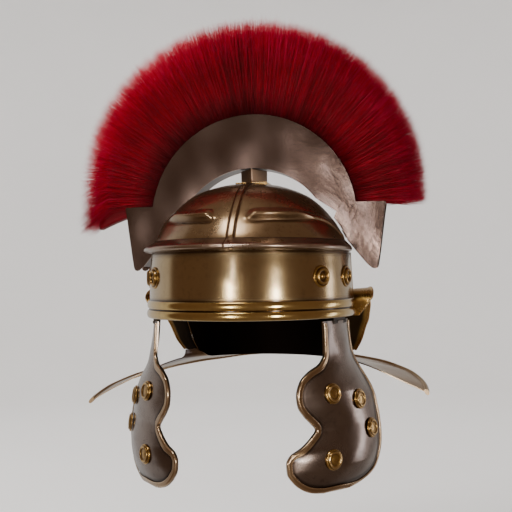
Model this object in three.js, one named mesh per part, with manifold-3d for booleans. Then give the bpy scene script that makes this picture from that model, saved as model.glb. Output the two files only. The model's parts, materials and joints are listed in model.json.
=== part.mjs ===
// A Roman helmet with hinged cheek plates and a plume that stands from side to side.
// Millimetres, +Z up, the face looks along -Y and the wearer's left is +X.
// The origin is the centre of the oval that the head goes into, level with the brow rim's lower edge.
import * as THREE from 'three';
import Module from 'manifold-3d';

// Bowl
const bowlHalfWidth = 100.5;
const bowlHalfLength = 118.5;
const bowlHeight = 133;
const bowlWall = 1.2;
const napeDepth = 50;
const seam = 0.3; // running gap between two pieces that touch

// Relief on the bowl
const browRelief = 3.4;
const browReliefWidth = 13;
const browReliefRise = 0.722; // its level as a share of the bowl's height
const ribWidth = 5;
const ribRelief = 2.6;

// Neck guard
const neckReachSide = 187.5;
const neckReachBack = 184;
const neckTipForward = 50; // where along Y the side tips are
const neckDroopSide = 43;
const neckDroopBack = 4;
const neckRoll = 1.6;
const neckLift = 1.2; // how far the guard's middle lies above the nape's edge
const neckRootEnd = 119; // degrees from the front to each end of the guard's root
const neckLean = 7.5; // how much lower than even the tip on the wearer's right is bent
const neckShift = 10.5; // how far the tips are bent toward the wearer's right

// Brow band, its beads and the brow guard
const bandThick = 1.2;
const bandRise = 0.474; // its top as a share of the bowl's height, where the dome starts to round
const bandEnd = 94.5; // degrees from the front
const beadHeight = 8.2;
const beadBulge = 2.6;
const beadGap = 0.6;
const guardReach = 15;
const guardHeight = 11.5;
const guardEnd = 96; // degrees from the front

// Bosses
const bossRadius = 10.6;
const bossHeight = 4.2;
const bossRise = 0.62; // its level as a share of the band's height
const bandBossAt = [-76, -52, 52, 76]; // degrees from the front

// Ear guards
const earArchHeight = 26;
const earReach = 25;
const earThick = 1.3;
const earCup = 3; // how far its lip bends up at the top of the arch

// Cheek plates
const cheekLength = 157;
const cheekTop = -3;
const cheekThick = 1.3;
const cheekFlare = 26;
const cheekCrown = 4;
const cheekInset = 4.6; // how far inside the band's face the plate hangs at its hinge
const trimWidth = 5.5;
const trimHeight = 1.6;

// Hinges
const hingeAt = 71.5; // degrees from the front
const hingeDrop = 4.3;
const hingeLength = 30;
const knuckleRadius = 2.1;
const knuckleTab = 3; // how far the plate's tab reaches below its knuckle
const knuckleTabThick = 1.2;
const pinRadius = 1;
const pinOverhang = 0.8;
const leafHeight = 20;
const leafThick = 1.2;

// Crest
const crestSetBack = 18;
const crestDepth = 26;
const crestPlateThick = 1.3;
const crestOuterRadius = 107;
const crestOuterDrop = 34.1; // from the bowl's top down to the centre of the upper arc
const crestInnerRadius = 82;
const crestInnerDrop = 64.2;
const crestInnerTurn = 53; // degrees from its top to each end of the inner arc
const crestLegClear = 2.2; // space between a crest leg and the bowl
const crestLegRises = [0.564, 0.617, 0.677, 0.737]; // levels of a leg's corners as shares of the bowl's height
const crestCuspRise = 0.786;
const crestCuspOut = 2.5;
const tailReach = 136;
const tailTopDrop = 19.5; // from the bowl's top down to the tails' upper edge
const tailTipDrop = 86.5;
const tailFoot = 4.5; // from the tail's tip up to where its inner slope starts
const tailFootWidth = 19;
const tailSlope = 9.5;
const baseSize = 33;
const baseThick = 3;
const postSide = 20;
const stayWidth = 5;
const stayThick = 1;
const stayRises = [0.5865, 0.617, 0.647]; // levels of a stay's corners as shares of the bowl's height
const stayLifts = [1.4, 1.2, 1.1]; // distances of its middle from the bowl

// Plume
const plumeRadius = 178.5;
const plumeCentreDrop = 5; // from the bowl's top down to the fan's centre
const plumeLean = -5; // how far the fan's centre lies toward the wearer's left
const plumeDepth = 38;
const plumeLocks = 15; // locks in the front layer
const plumeRootEnd = 84; // degrees from the top to the last root on each side
const plumeTipEnd = 95;
const plumeClear = 4; // from the tails' upper edge to the lowest tip
const plumeDroop = 29;
const lockWidth = 39;
const backingInset = 12; // from the crest's upper edge down to the backing's foot
const backingReach = 3; // from the crest's upper edge up to the backing's top

const finishes = {
  bowl: { color: 0x7d6440, roughness: 0.38, metalness: 1 },
  band: { color: 0x8f713c, roughness: 0.3, metalness: 1 },
  gold: { color: 0xb58434, roughness: 0.3, metalness: 1 },
  cheek: { color: 0x6f5c50, roughness: 0.34, metalness: 1 },
  bronze: { color: 0x4f3d34, roughness: 0.4, metalness: 1 },
  dark: { color: 0x241c17, roughness: 0.5, metalness: 1 },
  hair: { color: 0x8f0c20, roughness: 0.6, metalness: 0 },
};

const V = (x, y, z) => new THREE.Vector3(x, y, z);
const rad = THREE.MathUtils.degToRad;
const lerp = THREE.MathUtils.lerp;

// Solids

// Gathers triangles, merges corners that coincide and drops faces that shrink to a line.
class Faces {
  constructor() {
    this.points = [];
    this.triangles = [];
    this.known = new Map();
  }

  corner(p) {
    const key = [p.x, p.y, p.z].map((value) => Math.round(value * 2000)).join(' ');
    if (!this.known.has(key)) {
      this.known.set(key, this.points.length);
      this.points.push(p);
    }
    return this.known.get(key);
  }

  triangle(a, b, c) {
    const [i, j, k] = [a, b, c].map((p) => this.corner(p));
    if (i !== j && j !== k && k !== i) this.triangles.push([i, j, k]);
  }

  quad(a, b, c, d) {
    this.triangle(a, b, c);
    this.triangle(a, c, d);
  }

  volume() {
    return this.triangles.reduce((sum, [i, j, k]) => {
      const cross = new THREE.Vector3().crossVectors(this.points[j], this.points[k]);
      return sum + this.points[i].dot(cross) / 6;
    }, 0);
  }

  geometry() {
    const flipped = this.volume() < 0;
    const index = this.triangles.flatMap(([i, j, k]) => (flipped ? [i, k, j] : [i, j, k]));
    const geometry = new THREE.BufferGeometry();
    const flat = this.points.flatMap((p) => [p.x, p.y, p.z]);
    geometry.setAttribute('position', new THREE.Float32BufferAttribute(flat, 3));
    geometry.setIndex(index);
    geometry.computeVertexNormals();
    return geometry;
  }
}

// A closed wall between two grids of points with as many rows and columns as each other.
function wall(outer, inner, wrap = false) {
  const faces = new Faces();
  const rows = outer.length;
  const columns = outer[0].length;
  const steps = wrap ? columns : columns - 1;
  for (let r = 0; r < rows - 1; r += 1) {
    for (let c = 0; c < steps; c += 1) {
      const d = (c + 1) % columns;
      faces.quad(outer[r][c], outer[r][d], outer[r + 1][d], outer[r + 1][c]);
      faces.quad(inner[r][c], inner[r + 1][c], inner[r + 1][d], inner[r][d]);
    }
    if (!wrap) {
      const last = columns - 1;
      faces.quad(outer[r][0], outer[r + 1][0], inner[r + 1][0], inner[r][0]);
      faces.quad(outer[r][last], inner[r][last], inner[r + 1][last], outer[r + 1][last]);
    }
  }
  for (let c = 0; c < steps; c += 1) {
    const d = (c + 1) % columns;
    const end = rows - 1;
    faces.quad(outer[0][c], inner[0][c], inner[0][d], outer[0][d]);
    faces.quad(outer[end][c], outer[end][d], inner[end][d], inner[end][c]);
  }
  return faces.geometry();
}

// A bar through rings of points, closed with a fan at each end.
function bar(rings) {
  const faces = new Faces();
  const count = rings[0].length;
  for (let r = 0; r < rings.length - 1; r += 1) {
    for (let k = 0; k < count; k += 1) {
      const n = (k + 1) % count;
      faces.quad(rings[r][k], rings[r][n], rings[r + 1][n], rings[r + 1][k]);
    }
  }
  const last = rings[rings.length - 1];
  for (let k = 1; k < count - 1; k += 1) {
    faces.triangle(rings[0][0], rings[0][k + 1], rings[0][k]);
    faces.triangle(last[0], last[k], last[k + 1]);
  }
  return faces.geometry();
}

// The same faces of any geometry with its corners merged.
function tidy(geometry) {
  const faces = new Faces();
  const flat = geometry.index ? geometry.toNonIndexed() : geometry;
  const position = flat.attributes.position;
  const corner = (i) => new THREE.Vector3().fromBufferAttribute(position, i);
  for (let i = 0; i < position.count; i += 3) faces.triangle(corner(i), corner(i + 1), corner(i + 2));
  return faces.geometry();
}

const wasm = await Module();
wasm.setup();

function manifold(geometry) {
  return new wasm.Manifold(new wasm.Mesh({
    numProp: 3,
    vertProperties: new Float32Array(geometry.attributes.position.array),
    triVerts: new Uint32Array(geometry.index.array),
  }));
}

function geometryOf(solid) {
  const mesh = solid.getMesh();
  const geometry = new THREE.BufferGeometry();
  geometry.setAttribute('position', new THREE.BufferAttribute(mesh.vertProperties, 3));
  geometry.setIndex(new THREE.BufferAttribute(mesh.triVerts, 1));
  return tidy(geometry);
}

function join(geometries) {
  const [first, ...rest] = geometries.map(manifold);
  return geometryOf(rest.reduce((sum, solid) => sum.add(solid), first));
}

function cut(geometry, tools) {
  return geometryOf(tools.map(manifold).reduce((left, tool) => left.subtract(tool), manifold(geometry)));
}

// A rod with flat ends between two points.
function rod(from, to, radius, sides = 8) {
  const length = from.distanceTo(to);
  const geometry = new THREE.CylinderGeometry(radius, radius, length, sides);
  const along = to.clone().sub(from).normalize();
  geometry.applyQuaternion(new THREE.Quaternion().setFromUnitVectors(V(0, 1, 0), along));
  const middle = from.clone().lerp(to, 0.5);
  geometry.translate(middle.x, middle.y, middle.z);
  return tidy(geometry);
}

// Reads a table whose rows run in the order of the column named by key.
function read(table, key, at, column) {
  const next = table.findIndex((row) => row[key] >= at);
  if (next === 0) return table[0][column];
  if (next < 0) return table[table.length - 1][column];
  const [a, b] = [table[next - 1], table[next]];
  return lerp(a[column], b[column], (at - a[key]) / (b[key] - a[key]));
}

const range = (from, to, steps) => Array.from({ length: steps + 1 }, (_, i) => lerp(from, to, i / steps));

// Bowl

// Outline of the bowl: up is a share of the height and out a share of the half width or half length.
const domeProfile = [
  { up: -0.4, out: 0.985 },
  { up: 0, out: 1 },
  { up: 0.47, out: 0.978 },
  { up: 0.56, out: 0.95 },
  { up: 0.65, out: 0.893 },
  { up: 0.76, out: 0.788 },
  { up: 0.83, out: 0.7 },
  { up: 0.9, out: 0.583 },
  { up: 0.95, out: 0.44 },
  { up: 0.985, out: 0.25 },
  { up: 1, out: 0 },
];

// The ear arch: at is degrees from the front, up a share of the arch's height or, below the
// rim, of the nape's depth, and reach a share of the ear guard's reach.
const earArch = [
  { at: 96.6, up: -0.02, reach: 0.3 },
  { at: 97.4, up: 0.34, reach: 0.66 },
  { at: 99.3, up: 0.66, reach: 0.92 },
  { at: 103, up: 0.9, reach: 1 },
  { at: 108, up: 1, reach: 1.04 },
  { at: 113, up: 0.93, reach: 1.08 },
  { at: 117, up: 0.64, reach: 1.2 },
  { at: 119.5, up: 0.2, reach: 1.3 },
  { at: 121.3, up: -0.14, reach: 1.27 },
  { at: 123, up: -0.3, reach: 1.22 },
  { at: 126, up: -0.6, reach: 1.16 },
  { at: 130, up: -0.84, reach: 1.1 },
];
const bandTop = bowlHeight * bandRise;
const archLevel = (up) => (up > 0 ? up * earArchHeight : up * napeDepth);

const outAt = (z) => read(domeProfile, 'up', z / bowlHeight, 'out');

// A point of the oval at an azimuth in degrees from the front and a height, moved outward by grow.
function oval(azimuth, z, grow = 0, side = 1) {
  const out = outAt(z);
  const x = (bowlHalfWidth * out + grow) * Math.sin(rad(azimuth));
  const y = -(bowlHalfLength * out + grow) * Math.cos(rad(azimuth));
  return V(side * x, y, z);
}

// A point of the rim's oval carried straight down, for what hangs below the rim.
function hanging(azimuth, z, grow, side = 1) {
  const p = oval(azimuth, 0, grow, side);
  return p.setZ(z);
}

// A point lifted off the dome along its normal.
function onDome(azimuth, z, lift, side = 1) {
  const step = 0.4;
  const across = oval(azimuth + step, z, 0, side).sub(oval(azimuth - step, z, 0, side));
  const upward = oval(azimuth, z + step, 0, side).sub(oval(azimuth, z - step, 0, side));
  const normal = across.cross(upward).normalize().multiplyScalar(side);
  return oval(azimuth, z, 0, side).addScaledVector(normal, lift);
}

const domeHeight = (x, y) => {
  const out = Math.hypot(x / bowlHalfWidth, y / bowlHalfLength);
  const falling = [...domeProfile].reverse();
  return bowlHeight * read(falling, 'out', out, 'up');
};

function bowlEdge(azimuth) {
  const from = Math.abs(azimuth > 180 ? azimuth - 360 : azimuth);
  if (from < earArch[0].at) return 0;
  const lip = earThick + seam;
  if (from <= earArch[earArch.length - 1].at) return archLevel(read(earArch, 'at', from, 'up')) - lip;
  const last = earArch[earArch.length - 1];
  return -napeDepth * Math.min(1, lerp(-last.up + 0.03, 1, (from - last.at) / 8));
}

// Azimuths that the bowl and all that lies on its front share, so that their facets nest.
const frontColumns = range(0, 90, 9);
// How far a facet of the bowl lies inside the true curve.
const facetSag = bowlHalfLength * (1 - Math.cos(rad(frontColumns[1] / 2)));

function bowlShell() {
  const front = frontColumns.concat([earArch[0].at - 0.2]);
  const ear = earArch.map((row) => row.at);
  const back = range(140, 180, 3);
  const half = [...front, ...ear, ...back];
  const azimuths = [...half, ...half.slice(1, -1).reverse().map((a) => 360 - a)];
  const wallTop = domeProfile[2].up * bowlHeight;
  const domeRows = domeProfile.slice(3).map((row) => row.up * bowlHeight);
  const ring = (grow, levelOf) => azimuths.map((a) => oval(a, levelOf(a), grow));
  const rows = [0, 0.5, 1].map((share) => (a) => lerp(bowlEdge(a), wallTop, share));
  const levels = rows.concat(domeRows.map((z) => () => z));
  const outer = levels.map((levelOf) => ring(0, levelOf));
  const inner = levels.map((levelOf) => azimuths.map((a) => {
    const z = levelOf(a);
    const sink = z > wallTop ? bowlWall * ((z - wallTop) / (bowlHeight - wallTop)) : 0;
    const p = oval(a, z, -bowlWall);
    return z >= bowlHeight ? V(0, 0, z - bowlWall) : p.setZ(z - sink);
  }));
  outer[outer.length - 1] = azimuths.map(() => V(0, 0, bowlHeight));
  return wall(outer, inner, true);
}

function neckGuard() {
  const shares = [0, 0.2, 0.45, 0.7, 0.93, 0.965, 1];
  const thick = [0, 0, 0, 0, 0, 1, 0.5];
  const turns = range(-90, 90, 20);
  const sheet = (level) => shares.map((share, row) => turns.map((turn) => {
    const side = Math.abs(turn) / 90;
    const azimuth = 180 - turn * ((180 - neckRootEnd) / 90);
    const root = oval(azimuth, -napeDepth, -bowlWall * 0.6);
    const edgeX = neckReachSide * Math.sin(rad(turn)) - neckShift;
    const edgeY = neckTipForward + (neckReachBack - neckTipForward) * Math.cos(rad(turn));
    const droop = lerp(neckDroopBack, neckDroopSide, side ** 1.6) - neckLean * Math.sin(rad(turn));
    const rise = neckRoll * thick[row] + bowlWall / 2;
    const z = neckLift - napeDepth - droop * share ** 1.25 + level * rise;
    return V(lerp(root.x, edgeX, share), lerp(root.y, edgeY, share), z);
  }));
  return wall(sheet(1), sheet(-1));
}

// Rows of one raised eyebrow: at in degrees, rise and width as shares of the relief's sizes,
// drop as a share of the way from the relief's level down to the brow guard.
const eyebrow = [
  { at: 9, rise: 0.35, width: 0.5, drop: 0.08 },
  { at: 11.5, rise: 0.85, width: 0.92, drop: 0.03 },
  { at: 16, rise: 1, width: 1, drop: 0 },
  { at: 28, rise: 1, width: 1, drop: -0.06 },
  { at: 42, rise: 1, width: 1, drop: -0.08 },
  { at: 56, rise: 1, width: 1, drop: -0.05 },
  { at: 68, rise: 1, width: 1, drop: 0.02 },
  { at: 76, rise: 1, width: 1, drop: 0.22 },
  { at: 81, rise: 0.95, width: 0.95, drop: 0.55 },
  { at: 83.5, rise: 0.8, width: 0.85, drop: 0.9 },
];

function eyebrowBar(side) {
  const top = bowlHeight * browReliefRise;
  const fall = top - bandTop - guardHeight - browReliefWidth / 2;
  const rings = eyebrow.map((row) => {
    const level = top - row.drop * fall;
    const half = (row.width * browReliefWidth) / 2;
    const lift = row.rise * browRelief;
    const point = (up, raised) => onDome(row.at, level + up * half, raised, side);
    const root = -bowlWall * 0.6;
    return [point(1, root), point(0.9, 0.1), point(0.1, lift * 0.8), point(-0.5, lift), point(-0.95, 0.1),
      point(-1, root)];
  });
  return bar(rings);
}

function ribBar() {
  const [foot, top] = [bandTop + guardHeight + 3 * seam, bowlHeight - 2 * seam];
  const rings = range(0, 1, 7).map((share) => {
    const z = lerp(foot, top, share ** 0.8);
    const place = (x, lift) => onDome(0, z, lift).setX(x);
    const half = ribWidth / 2;
    const root = -bowlWall * 0.6;
    return [place(-half, root), place(-half, ribRelief * 0.5), place(0, ribRelief), place(half, ribRelief * 0.5),
      place(half, root)];
  });
  return bar(rings);
}

const bowl = () => join([bowlShell(), neckGuard(), eyebrowBar(1), eyebrowBar(-1), ribBar()]);

// Band, brow guard and ear guards

function bandProfile() {
  const bead = (from) => range(0, 180, 3).map((turn) => ({
    z: from + (beadHeight * (1 - Math.cos(rad(turn)))) / 2,
    out: bandThick + beadBulge * Math.sin(rad(turn)),
  }));
  return [...bead(0), ...bead(beadHeight + beadGap), { z: bandTop, out: bandThick }];
}

// Sweeps a profile of heights and thicknesses round the front of the bowl.
function sweep(profile, end) {
  const half = [...frontColumns, end];
  const azimuths = [...half.slice(1).reverse().map((a) => -a), ...half];
  const grid = (outOf) => azimuths.map((a) => profile.map((row) => oval(a, row.z, outOf(row, a))));
  return wall(grid((row, a) => seam + row.out * (row.taper ? row.taper(a) : 1)), grid(() => seam));
}

const browBand = () => sweep(bandProfile(), bandEnd);

function browGuard() {
  const narrow = (a) => 0.12 + 0.88 * Math.cos(rad((a / guardEnd) * 90)) ** 0.75;
  const base = bandTop + seam;
  const profile = [
    { z: base, out: guardReach * 0.25, taper: narrow },
    { z: base + guardHeight * 0.12, out: guardReach * 0.93, taper: narrow },
    { z: base + guardHeight * 0.38, out: guardReach, taper: narrow },
    { z: base + guardHeight * 0.6, out: guardReach * 0.8, taper: narrow },
    { z: base + guardHeight, out: guardReach * 0.12, taper: narrow },
  ];
  return sweep(profile, guardEnd);
}

function earGuard(side) {
  const rows = earArch.map((row, i) => {
    const before = earArch[Math.max(0, i - 1)];
    const after = earArch[Math.min(earArch.length - 1, i + 1)];
    const from = hanging(before.at, archLevel(before.up), 0, side);
    const to = hanging(after.at, archLevel(after.up), 0, side);
    const along = to.sub(from).normalize();
    const outward = hanging(row.at, 0, 1, side).sub(hanging(row.at, 0, 0, side)).normalize();
    const inward = along.clone().cross(outward).normalize().multiplyScalar(side * earThick);
    return { row, outward, inward };
  });
  const sheet = (level) => rows.map(({ row, outward, inward }) => [0, 0.35, 0.7, 1].map((share) => {
    const z = archLevel(row.up);
    const start = hanging(row.at, z, seam, side);
    const lift = z > 0 ? earCup * share * share * row.up : 0;
    return start.addScaledVector(outward, share * row.reach * earReach)
      .addScaledVector(inward, level).add(V(0, 0, lift));
  }));
  return wall(sheet(0), sheet(1));
}

// Cheek plates

// Outline of a cheek plate: drop is a share of its length, front and back its edges in degrees
// from the front, flare a share of how far the back edge stands out.
const cheekOutline = [
  { drop: 0, front: 55, back: 88, flare: 0 },
  { drop: 0.1, front: 54.8, back: 88, flare: 0 },
  { drop: 0.19, front: 54.2, back: 88, flare: 0.04 },
  { drop: 0.245, front: 50.5, back: 88, flare: 0.13 },
  { drop: 0.285, front: 43, back: 88.2, flare: 0.24 },
  { drop: 0.34, front: 37.6, back: 88.6, flare: 0.42 },
  { drop: 0.42, front: 35.4, back: 89, flare: 0.66 },
  { drop: 0.48, front: 36.2, back: 89, flare: 0.8 },
  { drop: 0.54, front: 39.6, back: 89, flare: 0.88 },
  { drop: 0.59, front: 44, back: 89, flare: 0.94 },
  { drop: 0.625, front: 46.6, back: 89, flare: 0.97 },
  { drop: 0.665, front: 43.6, back: 89, flare: 1 },
  { drop: 0.715, front: 38, back: 89, flare: 1.02 },
  { drop: 0.755, front: 31.6, back: 89, flare: 1.02 },
  { drop: 0.8, front: 29.6, back: 88.8, flare: 1 },
  { drop: 0.855, front: 30, back: 88, flare: 0.94 },
  { drop: 0.91, front: 33, back: 86, flare: 0.84 },
  { drop: 0.955, front: 37.6, back: 82, flare: 0.66 },
  { drop: 0.985, front: 43.5, back: 75, flare: 0.44 },
  { drop: 1, front: 50.5, back: 66.5, flare: 0.28 },
];

// A point of the cheek plate's surface: share runs from its front edge to its back edge.
function cheekPoint(drop, share, lift = 0, side = 1) {
  const z = cheekTop - drop * cheekLength;
  const front = read(cheekOutline, 'drop', drop, 'front');
  const back = read(cheekOutline, 'drop', drop, 'back');
  const flare = read(cheekOutline, 'drop', drop, 'flare') * cheekFlare;
  const settle = Math.min(1, drop / 0.42);
  const inset = -cheekInset * (1 - settle);
  const hem = Math.min(1, Math.max(0, (1 - drop) / 0.15));
  const crown = cheekCrown * settle * hem * Math.sin(Math.PI * share);
  const grow = bandThick + seam + inset + flare * Math.max(0, share) ** 1.6 + crown;
  return hanging(lerp(front, back, share), z, grow + lift, side);
}

// The plate's facets follow these shares of its width, and what lies on it follows its facets.
const cheekColumns = [0, 0.25, 0.5, 0.75, 1];

function onCheek(drop, share, lift, side) {
  const column = cheekColumns.findIndex((edge, i) => i > 0 && (share <= edge || edge === 1));
  const row = Math.max(1, cheekOutline.findIndex((edge) => edge.drop >= Math.min(1, drop)));
  const [left, right] = [cheekColumns[column - 1], cheekColumns[column]];
  const [over, under] = [cheekOutline[row - 1].drop, cheekOutline[row].drop];
  const across = (level) => cheekPoint(level, left, lift, side)
    .lerp(cheekPoint(level, right, lift, side), (share - left) / (right - left));
  return across(over).lerp(across(under), (drop - over) / (under - over));
}

function cheekNormal(drop, share, side) {
  const step = 0.05;
  const across = cheekPoint(drop, share + step, 0, side).sub(cheekPoint(drop, share - step, 0, side));
  const down = cheekPoint(drop + step, share, 0, side).sub(cheekPoint(drop - step, share, 0, side));
  return down.cross(across).normalize().multiplyScalar(side);
}

const hingeCentre = () => hanging(hingeAt, -hingeDrop, bandThick + seam - cheekInset - cheekThick / 2);
const hingeAxis = () => {
  const step = 0.5;
  return hanging(hingeAt + step, 0, 0).sub(hanging(hingeAt - step, 0, 0)).normalize();
};

function hingePoint(along, side) {
  const p = hingeCentre().addScaledVector(hingeAxis(), along);
  return p.setX(p.x * side);
}

function cheekPlate(side) {
  const sheet = (lift) => cheekOutline.map((row) => cheekColumns
    .map((share) => cheekPoint(row.drop, share, lift, side)));
  const plate = wall(sheet(0), sheet(-cheekThick));
  const half = hingeLength / 2 + pinOverhang + seam;
  const middle = hingeLength / 4 - seam;
  const notch = rod(hingePoint(-half, side), hingePoint(half, side), knuckleRadius + seam);
  const knuckle = rod(hingePoint(-middle, side), hingePoint(middle, side), knuckleRadius);
  const tabEnd = V(0, 0, -knuckleRadius - knuckleTab);
  const tabSide = middle - seam;
  const tabHalf = knuckleTabThick / 2;
  const tab = bar([0, 1].map((end) => [-tabSide, tabSide].flatMap((along, i) => {
    const p = hingePoint(along, side);
    const q = p.clone().addScaledVector(tabEnd, end).add(V(0, 0, end ? 0 : -pinRadius - seam));
    const offset = i ? [-tabHalf, tabHalf] : [tabHalf, -tabHalf];
    return offset.map((o) => q.clone().add(V(o * side, 0, 0)));
  })));
  const bore = rod(hingePoint(-half, side), hingePoint(half, side), pinRadius + seam);
  return cut(join([cut(plate, [notch]), knuckle, tab]), [bore]);
}

// The plate's open edge laid out flat in millimetres, from the top of its front down, along the
// bottom and up its back, and the way back from a flat point to a share of the drop and the width.
const flatRadius = (bowlHalfWidth + bowlHalfLength) / 2;
const flatEdge = (drop, edge) => rad(read(cheekOutline, 'drop', drop, edge)) * flatRadius;
const flatten = (drop, edge) => new THREE.Vector2(flatEdge(drop, edge), drop * cheekLength);

function unflatten(p) {
  const drop = Math.min(1, Math.max(0, p.y / cheekLength));
  const front = flatEdge(drop, 'front');
  return { drop: p.y / cheekLength, share: (p.x - front) / (flatEdge(drop, 'back') - front) };
}

// A raised strip that follows the plate's open edge.
function cheekTrim(side) {
  const start = 0.03;
  const drops = [start, ...cheekOutline.map((row) => row.drop).filter((drop) => drop > start)];
  const front = drops.map((drop) => flatten(drop, 'front'));
  const back = drops.map((drop) => flatten(drop, 'back')).reverse();
  const bottom = cheekColumns.slice(1, -1).map((share) => front[front.length - 1].clone().lerp(back[0], share));
  const line = [...front, ...bottom, ...back];
  const inward = line.map((p, i) => {
    const before = line[Math.max(0, i - 1)];
    const after = line[Math.min(line.length - 1, i + 1)];
    const along = after.clone().sub(before).normalize();
    return new THREE.Vector2(along.y, -along.x);
  });
  const section = [{ over: 0, up: 0.7 }, { over: 0.5, up: 1 }, { over: 1, up: 0.5 }];
  const base = seam * 2.9;
  const sheet = (liftOf) => line.map((p, i) => section.map(({ over, up }) => {
    const { drop, share } = unflatten(p.clone().addScaledVector(inward[i], over * trimWidth));
    return onCheek(drop, share, liftOf(up), side);
  }));
  return wall(sheet((up) => base + up * trimHeight), sheet(() => base));
}

// Places of the cheek bosses as shares of the plate's drop and width.
const cheekBosses = [
  { drop: 0.42, share: 0.36 },
  { drop: 0.475, share: 0.68 },
  { drop: 0.665, share: 0.8 },
  { drop: 0.8, share: 0.4 },
];

function hingeLeaf(side) {
  const spread = THREE.MathUtils.radToDeg(hingeLength / 2 / (bowlHalfLength - bowlWall - leafThick));
  const azimuths = range(hingeAt - spread, hingeAt + spread, 4);
  const heights = [-hingeDrop + pinRadius + 2 * seam, seam, leafHeight];
  const face = -bowlWall - seam - facetSag;
  const inside = (a, z, grow) => (z < 0 ? hanging(a, z, grow, side) : oval(a, z, grow, side));
  const sheet = (grow) => azimuths.map((a) => heights.map((z) => inside(a, z, grow)));
  const leaf = wall(sheet(face), sheet(face - leafThick));
  const ends = [-1, 1].map((end) => rod(
    hingePoint((end * hingeLength) / 4, side),
    hingePoint((end * hingeLength) / 2, side),
    knuckleRadius,
  ));
  const middle = rod(
    hingePoint(-hingeLength / 4, side),
    hingePoint(hingeLength / 4, side),
    knuckleRadius + seam,
  );
  const bore = rod(hingePoint(-hingeLength, side), hingePoint(hingeLength, side), pinRadius + seam);
  return cut(join([leaf, ...ends]), [middle, bore]);
}

const hingePin = (side) => rod(
  hingePoint(-hingeLength / 2 - pinOverhang, side),
  hingePoint(hingeLength / 2 + pinOverhang, side),
  pinRadius,
);

// Bosses

// A round boss with a ringed rim and a domed centre, standing on its local XY plane.
function bossGeometry() {
  const profile = [
    [0, 0], [1, 0], [0.92, 0.6], [0.68, 0.3], [0.42, 0.85], [0, 1],
  ].map(([out, up]) => new THREE.Vector2(out * bossRadius, up * bossHeight));
  const geometry = new THREE.LatheGeometry(profile, 10);
  geometry.rotateX(Math.PI / 2);
  return tidy(geometry);
}

// Where a boss rests on the cheek plate: clear of the plate's highest facet under its rim.
function bossSeat(drop, share, side) {
  const centre = onCheek(drop, share, 0, side);
  const normal = cheekNormal(drop, share, side);
  const width = cheekPoint(drop, 0).distanceTo(cheekPoint(drop, 1));
  const heights = [0.5, 1].flatMap((out) => range(0, 345, 23).map((turn) => {
    const across = (out * bossRadius * Math.cos(rad(turn))) / width;
    const down = (out * bossRadius * Math.sin(rad(turn))) / cheekLength;
    return onCheek(drop + down, share + across, 0, side).sub(centre).dot(normal);
  }));
  const face = centre.clone().addScaledVector(normal, Math.max(0, ...heights) + 2 * seam);
  return { face, normal };
}

function bossOn(name, place, normal, finish) {
  const mesh = piece(name, bossGeometry(), finish);
  mesh.position.copy(place);
  mesh.quaternion.setFromUnitVectors(V(0, 0, 1), normal);
  return mesh;
}

// Crest

const crestOuterCentre = bowlHeight - crestOuterDrop;
const crestInnerCentre = bowlHeight - crestInnerDrop;
const tailTop = bowlHeight - tailTopDrop;
const tailTip = bowlHeight - tailTipDrop;

// The crest plate's outline on the wearer's left, from the top of its outer arc to the top of its inner arc.
function crestHalf() {
  const arc = (centre, radius, fromTurn, toTurn, steps) => range(fromTurn, toTurn, steps)
    .map((turn) => new THREE.Vector2(radius * Math.sin(rad(turn)), centre + radius * Math.cos(rad(turn))));
  const notchTurn = THREE.MathUtils.radToDeg(Math.acos((tailTop - crestOuterCentre) / crestOuterRadius));
  const clear = (z) => new THREE.Vector2(oval(90, z, crestLegClear).x, z);
  const legs = crestLegRises.map((rise) => clear(rise * bowlHeight));
  return [
    ...arc(crestOuterCentre, crestOuterRadius, 0, notchTurn, 12),
    new THREE.Vector2(tailReach, tailTop),
    new THREE.Vector2(tailReach - 4, (tailTop + tailTip) / 2 + 3),
    new THREE.Vector2(tailReach - 8.5, tailTip + 4),
    new THREE.Vector2(tailReach - 10, tailTip + 0.8),
    new THREE.Vector2(tailReach - 12.5, tailTip),
    new THREE.Vector2(tailReach - tailFootWidth, tailTip + tailFoot),
    new THREE.Vector2(tailReach - tailFootWidth - 0.84 * tailSlope, tailTip + tailFoot + tailSlope),
    ...legs,
    new THREE.Vector2(legs[legs.length - 1].x + crestCuspOut, crestCuspRise * bowlHeight),
    ...arc(crestInnerCentre, crestInnerRadius, crestInnerTurn, 0, 7),
  ];
}

function crestPlate() {
  const half = crestHalf();
  const other = [...half].reverse().slice(1, -1).map((p) => new THREE.Vector2(-p.x, p.y));
  const shape = new THREE.Shape([...half, ...other]);
  const geometry = new THREE.ExtrudeGeometry(shape, { depth: crestPlateThick, bevelEnabled: false });
  geometry.rotateX(Math.PI / 2);
  geometry.translate(0, crestPlateThick / 2, 0);
  return tidy(geometry);
}

// Half of the clear width between the crest's two plates.
const crestRoom = crestDepth / 2 - crestPlateThick / 2 - seam;

// The strip that closes the crest's underside between its two plates.
function crestWeb() {
  const half = crestHalf();
  const start = half.findIndex((p) => p.y === tailTip + tailFoot);
  const line = half.slice(start).map((p) => p.clone());
  const full = [...line, ...[...line].reverse().slice(1).map((p) => new THREE.Vector2(-p.x, p.y))];
  const sheet = (lift) => full.map((p, i) => {
    const before = full[Math.max(0, i - 1)];
    const after = full[Math.min(full.length - 1, i + 1)];
    const along = after.clone().sub(before).normalize();
    return [-crestRoom, crestRoom].map((y) => V(p.x + along.y * lift, y, p.y - along.x * lift));
  });
  return wall(sheet(0), sheet(crestPlateThick));
}

// A block over a square of ground whose top and underside follow two height functions.
function block(halfSize, turn, under, over) {
  const steps = range(-halfSize, halfSize, 4);
  const place = (levelOf) => steps.map((u) => steps.map((v) => {
    const p = V(u, v, 0).applyAxisAngle(V(0, 0, 1), turn);
    return p.setZ(levelOf(p.x, p.y));
  }));
  return wall(place(over), place(under));
}

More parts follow.
